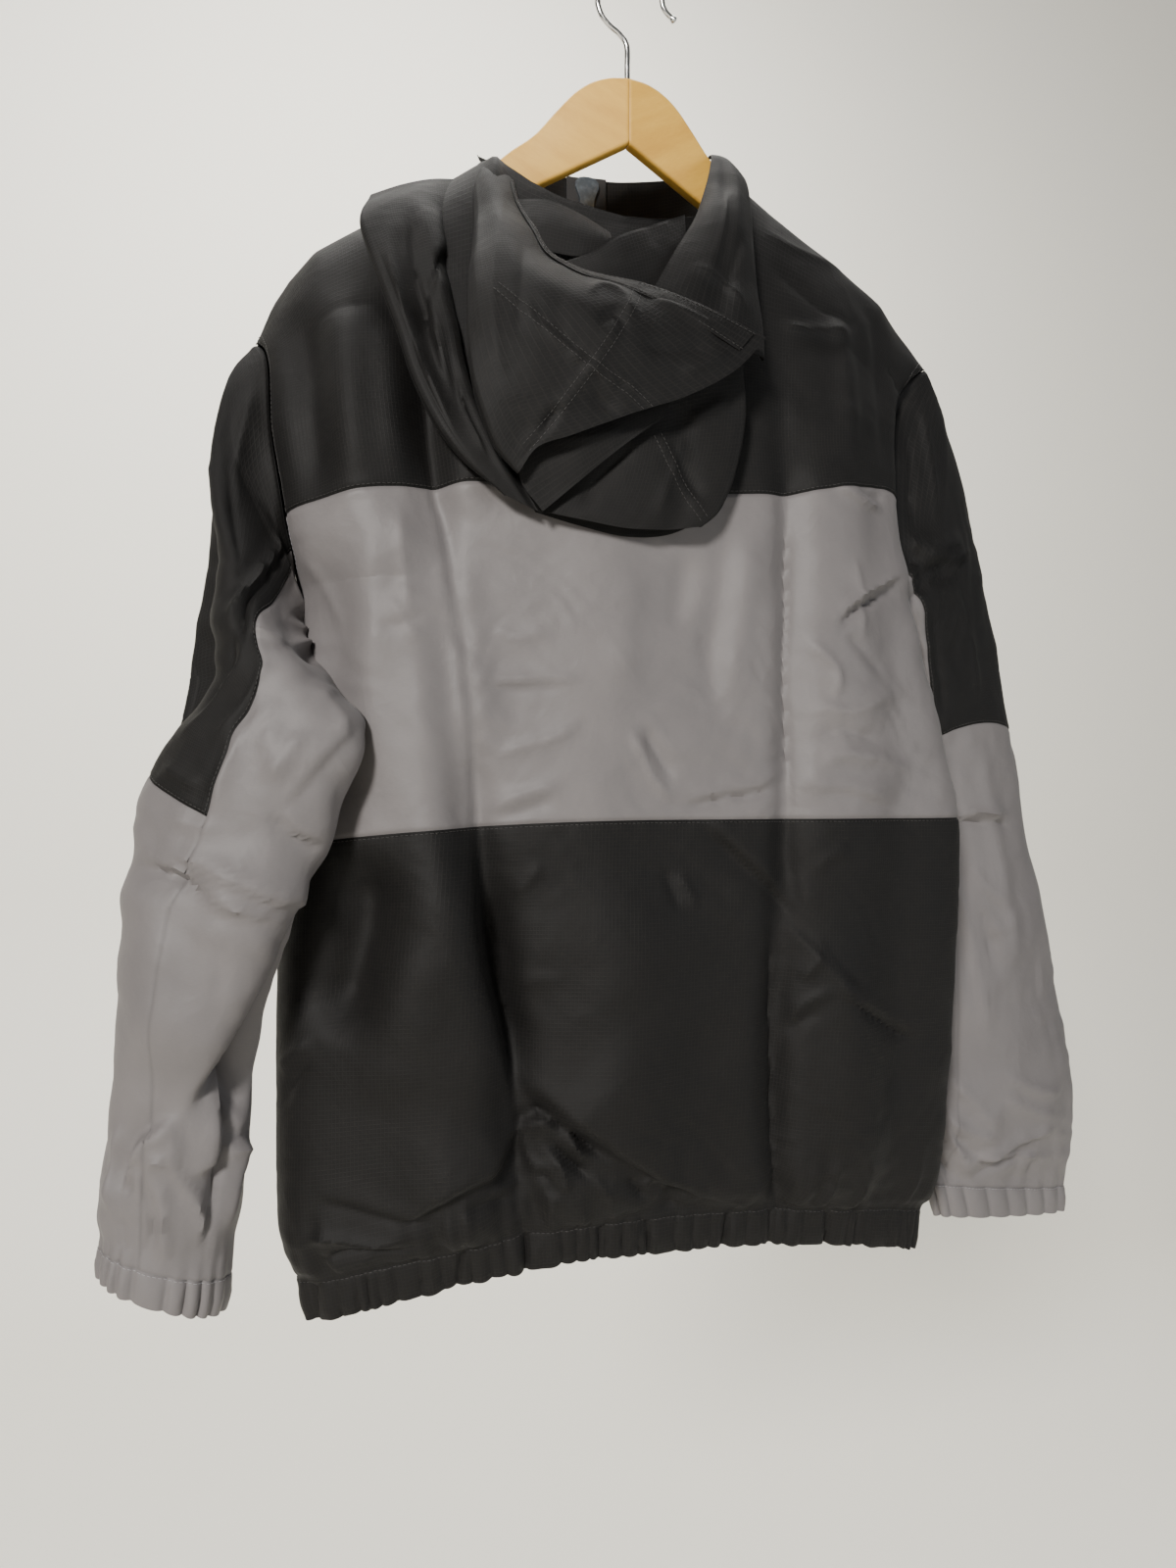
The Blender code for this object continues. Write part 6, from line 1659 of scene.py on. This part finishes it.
zip_edges = []
for side, sign in (("left", -1), ("right", 1)):
    (inner, outer), out = tape_edges(sign, 170)
    zip_edges.append(inner)
    across = np.array([0, 0.12, 0.3, 0.55, 0.8, 1.0])[None, :, None]
    points = inner[:, None] * (1 - across) + outer[:, None] * across
    shell(f"zip_tape_{side}", points, np.broadcast_to(out[:, None], points.shape), "tape", thick=0.7)
zip_line = (zip_edges[0] + zip_edges[1]) / 2

# %% [markdown]
# Teeth and stitches repeat along a line, so Geometry Nodes set them: the line is cut into even
# steps, one small shape goes on each step, turned along the line, and every other tooth is turned
# over, so that the two sides mesh.

# %% Geometry Nodes: a shape repeated along lines
REPEAT_INPUTS = {"Lines": "Geometry", "Shape": "Object", "Pitch": "Float", "Uneven": "Float",
                 "Seed": "Int", "Finish": "Material"}


def turned_over(node, turn):
    """Half a turn about the line for every other one of the shapes."""
    index = node("GeometryNodeInputIndex").outputs[0]
    angle = maths(node, "MULTIPLY", maths(node, "MODULO", index, 2.0), math.pi)
    half_turn = node("FunctionNodeAxisAngleToRotation", {"Axis": (1, 0, 0), "Angle": angle}).outputs[0]
    return node("FunctionNodeRotateRotation", {"Rotation": turn, "Rotate By": half_turn},
                rotation_space="LOCAL").outputs[0]


def repeat_tree(name, turn_every_other):
    """A node group that sets a shape at even steps along lines."""
    tree = bpy.data.node_groups.new(name, "GeometryNodeTree")
    for label, kind in REPEAT_INPUTS.items():
        tree.interface.new_socket(label, in_out="INPUT", socket_type="NodeSocket" + kind)
    tree.interface.new_socket("Made", in_out="OUTPUT", socket_type="NodeSocketGeometry")
    node = node_maker(tree)
    given = node("NodeGroupInput").outputs
    curves = node("GeometryNodeMeshToCurve", {0: given["Lines"]}).outputs[0]
    steps = node("GeometryNodeResampleCurve", {"Curve": curves, "Length": given["Pitch"]}, mode="LENGTH")
    tangent = node("GeometryNodeInputTangent").outputs[0]
    turn = node("FunctionNodeAlignRotationToVector", {"Vector": tangent}, axis="X").outputs[0]
    if turn_every_other:
        turn = turned_over(node, turn)
    least = maths(node, "SUBTRACT", 1.0, given["Uneven"])
    size = node("FunctionNodeRandomValue", {2: least, 3: 1.0, "Seed": given["Seed"]}, data_type="FLOAT")
    shape = node("GeometryNodeObjectInfo", {"Object": given["Shape"]}).outputs["Geometry"]
    placed = node("GeometryNodeInstanceOnPoints", {"Points": steps.outputs[0], "Instance": shape,
                                                   "Rotation": turn, "Scale": size.outputs[1]})
    real = node("GeometryNodeRealizeInstances", {0: placed.outputs[0]}).outputs[0]
    painted = node("GeometryNodeSetMaterial", {"Geometry": real, "Material": given["Finish"]}).outputs[0]
    node("NodeGroupOutput", {0: painted})
    return tree


def repeat_along(name, tree, lines, shape, finish, **sizes):
    """Set a shape along lines of points in millimetres and keep the result as a plain mesh."""
    points, edges = [], []
    for line in lines:
        edges += [(len(points) + i, len(points) + i + 1) for i in range(len(line) - 1)]
        points += (np.asarray(line) * MM).tolist()
    mesh = bpy.data.meshes.new(name + "_lines")
    mesh.from_pydata(points, edges, [])
    item = add_object(name, mesh)
    modifier = item.modifiers.new("repeat", "NODES")
    modifier.node_group = tree
    values = {"Shape": shape, "Finish": finish, **sizes}
    for socket in tree.interface.items_tree:
        if socket.in_out == "INPUT" and socket.name in values:
            modifier[socket.identifier] = values[socket.name]
    graph = bpy.context.evaluated_depsgraph_get()
    made = bpy.data.meshes.new_from_object(item.evaluated_get(graph))
    item.modifiers.clear()
    item.data = made
    made.shade_smooth()
    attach(item, BODY_NAME)
    print(name, "triangles:", sum(len(p.vertices) - 2 for p in made.polygons))


# %% Small closed shapes and rods
def tube_faces(count, around):
    """The faces between `count` rings of points, and the first and the last ring as caps."""
    sides = []
    for r in range(count - 1):
        for k in range(around):
            a, b = r * around + k, r * around + (k + 1) % around
            sides.append((a, b, b + around, a + around))
    return sides, tuple(range(around)), tuple(range((count - 1) * around, count * around))


def small_shape(name, rings, around):
    """A small closed shape along x from rings of (x, radius across, radius up), never shown itself."""
    points = []
    for x, wide, high in rings:
        points += [(x * MM, wide * math.cos(a) * MM, high * math.sin(a) * MM)
                   for a in (2 * math.pi * k / around for k in range(around))]
    sides, first, last = tube_faces(len(rings), around)
    mesh = bpy.data.meshes.new(name)
    mesh.from_pydata(points, [], [*sides, first[::-1], last])
    return bpy.data.objects.new(name, mesh)


# %% Zip teeth and stitches
TOOTH_PITCH, TOOTH_OFFSET, BELOW_SLIDER, STITCH_PITCH = 1.45, 1.3, 20, 3.1


def moulded(node):
    return {"Roughness": between(node, grain(node, object_place(node), 700.0, 2.0), 0.3, 0.7, 0.3, 0.45)}


def spun(node):
    return {"Normal": relief(node, grain(node, object_place(node), 1500.0, 3.0), 0.4, 0.0002)}


TEETH = finish_of("moulded_teeth", (0.018, 0.018, 0.02), 0.35, moulded)
THREADS = {"dark": finish_of("charcoal_thread", (0.030, 0.028, 0.027), 0.6, spun),
           "grey": finish_of("grey_thread", (0.26, 0.25, 0.26), 0.55, spun)}
TOOTH_RINGS = [(-0.55, 1.0, 0.7), (-0.4, 1.5, 1.1), (0.4, 1.5, 1.1), (0.55, 1.0, 0.7)]
STITCH_RINGS = [(-1.25, 0.08, 0.06), (-0.7, 0.24, 0.2), (0.7, 0.24, 0.2), (1.25, 0.08, 0.06)]
tooth = small_shape("tooth_shape", TOOTH_RINGS, 6)
for vertex in tooth.data.vertices:
    vertex.co.y += TOOTH_OFFSET * MM
stitch = small_shape("stitch_shape", STITCH_RINGS, 5)
below_slider = zip_line[zip_line[:, 2] < SLIDER_TOP - BELOW_SLIDER]
repeat_along("zip_teeth", repeat_tree("teeth", True), [below_slider], tooth, TEETH,
             Pitch=TOOTH_PITCH * MM, Uneven=0.0, Seed=1)
stitch_tree = repeat_tree("stitches", False)
for colour, lines in threads.items():
    repeat_along(f"stitches_{colour}", stitch_tree, lines, stitch, THREADS[colour],
                 Pitch=STITCH_PITCH * MM, Uneven=0.15, Seed=7)

# %% [markdown]
# ## Slider and pull tab
# Both are die-cast and painted. The tab hangs from a small crown and may swing out.

# %% Painted metal
def painted(node):
    wear = grain(node, object_place(node), 240.0, 4.0)
    colour = mixed(node, between(node, wear, 0.45, 0.75), (0.055, 0.070, 0.088, 1), (0.10, 0.12, 0.145, 1))
    return {"Base Color": colour, "Roughness": between(node, wear, 0.3, 0.7, 0.28, 0.42),
            "Normal": relief(node, wear, 0.15, 0.0003), "Metallic": 0.3}


PAINT = finish_of("slider_paint", (0.18, 0.22, 0.27), 0.35, painted)
for name in ("zip_slider", "pull_tab"):
    node_object = frame["nodes"][name]
    node_object.data.materials.clear()
    node_object.data.materials.append(PAINT)

# %% [markdown]
# ## The hanger
# Two arms of pale birch meet in a mitre under the hook. The grain runs along each arm, so each arm
# gets its own turn of the same wood. The wire hook is bright steel.

# %% Birch
KNOTS = [(-35, -107, 3.2), (-27, -104, 2.2), (38, -149, 3.0), (45, -154, 2.4)]    # x, z, size
KNOT_Y, KNOT_COLOUR = -4, (0.30, 0.15, 0.06, 1)


def birch(angle):
    """The wood of an arm whose grain is turned by an angle."""
    def build(node):
        place = object_place(node)
        turned = mapped(node, place, Rotation=(0, angle, 0))
        rings = grain(node, mapped(node, turned, Scale=(5.0, 60.0, 60.0)), 1.2, 4.0, Distortion=0.6)
        pores = grain(node, mapped(node, turned, Scale=(60.0, 1400.0, 1400.0)), 1.0, 3.0)
        tone = summed(node, (rings, 0.8), (pores, 0.25))
        colour = mixed(node, between(node, tone, 0.35, 0.75), (0.66, 0.385, 0.070, 1), (0.53, 0.28, 0.040, 1))
        for x, z, size in KNOTS:
            middle = (x * MM, KNOT_Y * MM, z * MM)
            away = node("ShaderNodeVectorMath", {0: place, 1: middle}, operation="DISTANCE").outputs["Value"]
            dark = between(node, away, size * MM, size * MM * 0.35, 0.0, 0.8)
            colour = mixed(node, dark, colour, KNOT_COLOUR)
        return {"Base Color": colour, "Roughness": between(node, tone, 0.3, 0.8, 0.42, 0.55),
                "Normal": relief(node, pores, 0.12, 0.0003)}
    return build


# %% Hanger arms
ARM_SWEEP, ARM_THICK, ARM_CORNER = 0.176, 11.0, 3.0
TIP_FROM, TIP_LENGTH, MITRE, MITRE_CHAMFER = 203, 11.0, 0.2, 0.4
QUARTERS, GRAIN_TURN = [(1, -1), (1, 1), (-1, 1), (-1, -1)], 0.5
ARM = table("x top bottom", [(0, -79, -124), (15, -80, -131.8), (26, -84, -137.5), (36, -91, -142.7),
                             (48, -104, -149), (62, -120, -156.2), (78, -132, -164.6),
                             (94, -145.5, -173.5), (130, -170, -192.6), (168, -194, -212.4),
                             (196, -210, -226), (208, -219, -231), (213, -225, -230)])


def rod(name, rings, finish, node_name):
    """Join rings of equal count into a closed rod with capped ends."""
    half = len(rings) // 2
    a, b, c = rings[half, 0], rings[half + 1, 0], rings[half, 1]
    inside_out = np.cross(b - a, c - a) @ (a - rings[half].mean(axis=0)) < 0
    sides, first, last = tube_faces(*rings.shape[:2])
    faces = [first, last[::-1]] + [(a, d, c, b) for a, b, c, d in sides]
    item = add_mesh(name, (rings.reshape(-1, 3) * MM).tolist(), faces, finish, sharp_from=50)
    if inside_out:
        item.data.flip_normals()
    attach(item, BODY_NAME)
    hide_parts(node_name)


def arm_rings(sign):
    """Tall rounded rectangles along the arm, smaller at its tip."""
    stations = np.concatenate([[0, 0.6], np.linspace(2, 205, 90), [207, 209, 210.6, 211.8, 212.6, 213.0]])
    rings = []
    for x in stations:
        top, bottom = along(ARM["top"], x, ARM["x"]), along(ARM["bottom"], x, ARM["x"])
        tip = max(x - TIP_FROM, 0) / TIP_LENGTH
        half = ARM_THICK / 2 * math.sqrt(max(1 - tip ** 2, 0.12))
        middle, height = (top + bottom) / 2, (top - bottom) / 2
        corner = min(ARM_CORNER, half * 0.6, height * 0.6)
        radius = corner - (MITRE_CHAMFER if x < 0.5 else 0)
        ring = []
        for quarter, (side_y, side_z) in enumerate(QUARTERS):
            for k in range(6):
                turn = math.radians(-90 + 90 * quarter + 18 * k)
                y = ARM_SWEEP * x + side_y * (half - corner) + radius * math.cos(turn)
                z = middle + side_z * (height - corner) + radius * math.sin(turn)
                ring.append((sign * (x + MITRE), y, z))
        rings.append(ring)
    return np.array(rings)


for side, sign in (("left", -1), ("right", 1)):
    wood = finish_of(f"birch_{side}", (0.7, 0.5, 0.28), 0.5, birch(sign * GRAIN_TURN))
    rod(f"hanger_arm_{side}_wood", arm_rings(sign), wood, f"hanger_arm_{side}")

# %% Hook
WIRE_RADIUS, HOOK_RADIUS = 1.9, 23.0
HOOK_SHANK = [(0, -78.6), (0, -68), (0, -58), (-1.5, -52.5), (-6, -47.5), (-12, -43.5), (-17.5, -38),
              (-20.5, -31)]
HOOK_BALL = [(0.2, 1.9), (0.8, 2.3), (1.8, 2.6), (2.9, 2.3), (3.35, 1.7), (3.6, 0.9)]    # place, radius


def brushed(node):
    streak = grain(node, mapped(node, object_place(node), Scale=(900.0, 900.0, 120.0)), 1.0, 3.0)
    return {"Roughness": between(node, streak, 0.3, 0.7, 0.16, 0.30),
            "Normal": relief(node, streak, 0.08, 0.0002), "Metallic": 1.0}


def hook_rings():
    """Rings along the shank, round the hook and over the ball at its tip."""
    path = [np.array(p, dtype=float) for p in HOOK_SHANK]
    centre = np.array([2.0, WIRE_RADIUS - HOOK_RADIUS])
    for degrees in range(190, -1, -19):
        turn = math.radians(degrees)
        path.append(centre + HOOK_RADIUS * np.array([math.cos(turn), math.sin(turn)]))
    end = path[-1]
    path += [end + np.array(step) for step in ((0.8, -3.5), (3.0, -6.8), (6.0, -9.2))]
    line = along(np.array(path), np.linspace(0, len(path) - 1, 150))
    radius = np.full(len(line), WIRE_RADIUS)
    ball = line[-1] + np.array([0.8, -0.6])
    swell = np.linspace(0.2, 3.6, 12)
    line = np.concatenate([line, ball + np.outer(swell, (0.78, -0.62))])
    radius = np.concatenate([radius, np.interp(swell, *zip(*HOOK_BALL))])
    heading = np.gradient(line, axis=0)
    heading /= np.linalg.norm(heading, axis=1, keepdims=True)
    angle = np.linspace(0, 2 * math.pi, 20, endpoint=False)
    return np.array([[(x + r * math.cos(a) * -hz, r * math.sin(a), z + r * math.cos(a) * hx) for a in angle]
                     for (x, z), (hx, hz), r in zip(line, heading, radius)])


rod("hanger_hook_wire", hook_rings(), finish_of("hook_steel_wire", (0.66, 0.65, 0.63), 0.22, brushed),
    "hanger_hook")

# %% [markdown]
# ## Sheets
# Each cloth piece is listed with the size it was cut to, and its cloth area is printed beside it. A gathered
# piece is cut longer than it
# looks: the elastic takes up a fifth of the hem's length.

SHEETS = [
    ("back_yoke", 520, 235, 1055, "hung", "hanger_arm_left hanger_arm_right"),
    ("back_middle", 512, 236, 1107, "hung", "back_yoke"),
    ("back_lower", 552, 273, 0, "hung", "back_middle"),
    ("front_left_yoke", 238, 262, 494, "hung", "hanger_arm_left"),
    ("front_left_middle", 224, 211, 0, "hung", "front_left_yoke"),
    ("front_left_lower", 250, 270, 0, "hung", "front_left_middle"),
    ("front_right_yoke", 244, 266, 521, "hung", "hanger_arm_right"),
    ("front_right_middle", 247, 211, 0, "hung", "front_right_yoke"),
    ("front_right_lower", 276, 274, 0, "hung", "front_right_middle"),
    ("hem_casing", 1200, 30, 0, "gathered", "back_lower front_left_lower front_right_lower"),
    ("sleeve_left_top", 192, 318, 348, "hung", "back_yoke front_left_yoke"),
    ("sleeve_left_lower", 98, 284, 270, "hung", "sleeve_left_top"),
    ("sleeve_left_under", 210, 484, 745, "hung", "back_middle front_left_middle"),
    ("sleeve_right_top", 288, 292, 534, "hung", "back_yoke front_right_yoke"),
    ("sleeve_right_lower", 240, 372, 848, "hung", "sleeve_right_top"),
    ("sleeve_right_under", 70, 447, 288, "hung", "back_middle front_right_middle"),
    ("cuff_left", 280, 26, 0, "gathered", "sleeve_left_lower sleeve_left_under"),
    ("cuff_right", 390, 29, 0, "gathered", "sleeve_right_lower sleeve_right_under"),
    ("hood_under", 180, 222, 324, "hung", "back_yoke"),
    ("hood_drape", 90, 264, 178, "draped", "back_yoke"),
    ("hood_flap", 98, 270, 0, "folded", "hood_under"),
    ("hood_right", 62, 194, 0, "draped", "back_yoke"),
    ("hood_pouch", 126, 106, 106, "draped", "hood_under"),
    ("hood_gusset", 108, 32, 28, "folded", "hood_pouch"),
    ("hood_inner_left", 68, 42, 23, "folded", "hood_under"),
    ("hood_inner_right", 94, 43, 31, "folded", "hood_under"),
    ("hood_rim", 11, 222, 0, "folded", "hood_flap"),
    ("collar_left", 103, 54, 47, "hung", "front_left_yoke"),
    ("collar_right", 120, 62, 64, "hung", "front_right_yoke"),
    ("zip_tape_left", 14.5, 752, 0, "hung", "collar_left"),
    ("zip_tape_right", 14.5, 752, 0, "hung", "collar_right"),
]
for name, width, length, area, held, above in SHEETS:
    print(f"{name}: cut {width} x {length} mm, cloth {charts[name]['area'] / 100:.0f} cm2")
print("sheets:", len(SHEETS), "cloth pieces:", len(charts))

# %% [markdown]
# ## Floor and light
# A pale sweep, one large soft light from the upper left, a weak one from the right and an even sky.

# %% Stage and lights
FLOOR, WALL, WALL_TOP, FRONT, HALF_WIDTH, BEND = -1.75, 2.8, 3.0, -4.0, 5.0, 0.9     # metres


def plain_plaster(node):
    return {"Normal": relief(node, grain(node, object_place(node), 30.0, 6.0), 0.05, 0.002)}


def make_stage():
    """A floor that bends up into a wall, far enough back for a camera behind the object."""
    profile = [(FRONT, FLOOR)]
    for degrees in range(0, 91, 6):
        turn = math.radians(degrees)
        profile.append((WALL - BEND + BEND * math.sin(turn), FLOOR + BEND - BEND * math.cos(turn)))
    profile.append((WALL, WALL_TOP))
    points = [(x, y, z) for x in (-HALF_WIDTH, HALF_WIDTH) for y, z in profile]
    count = len(profile)
    faces = [(i, i + count, i + count + 1, i + 1) for i in range(count - 1)]
    plaster = finish_of("pale_plaster", (0.80, 0.78, 0.71), 0.9, plain_plaster)
    add_mesh("sweep", points, faces, plaster)


def add_light(name, place, aim, size, watts, colour):
    data = bpy.data.lights.new(name, "AREA")
    data.shape, data.size, data.energy, data.color = "DISK", size, watts, colour
    item = add_object(name, data)
    item.location = place
    item.rotation_euler = (Vector(aim) - Vector(place)).to_track_quat("-Z", "Y").to_euler()


make_stage()
add_light("key", (-3.0, -4.65, 1.8), (0, 0, -0.5), 1.2, 600, (1.0, 0.97, 0.93))
add_light("fill", (2.2, -2.0, -0.3), (0, 0, -0.5), 1.8, 24, (0.90, 0.95, 1.0))
add_light("wall_wash", (0, 0.9, 1.6), (0, 2.8, -0.6), 2.2, 112, (1.0, 0.98, 0.94))
world = bpy.data.worlds.new("sky")
world.use_nodes = True
world.node_tree.nodes["Background"].inputs[0].default_value = (0.86, 0.88, 0.90, 1)
world.node_tree.nodes["Background"].inputs[1].default_value = 0.12
bpy.context.scene.world = world
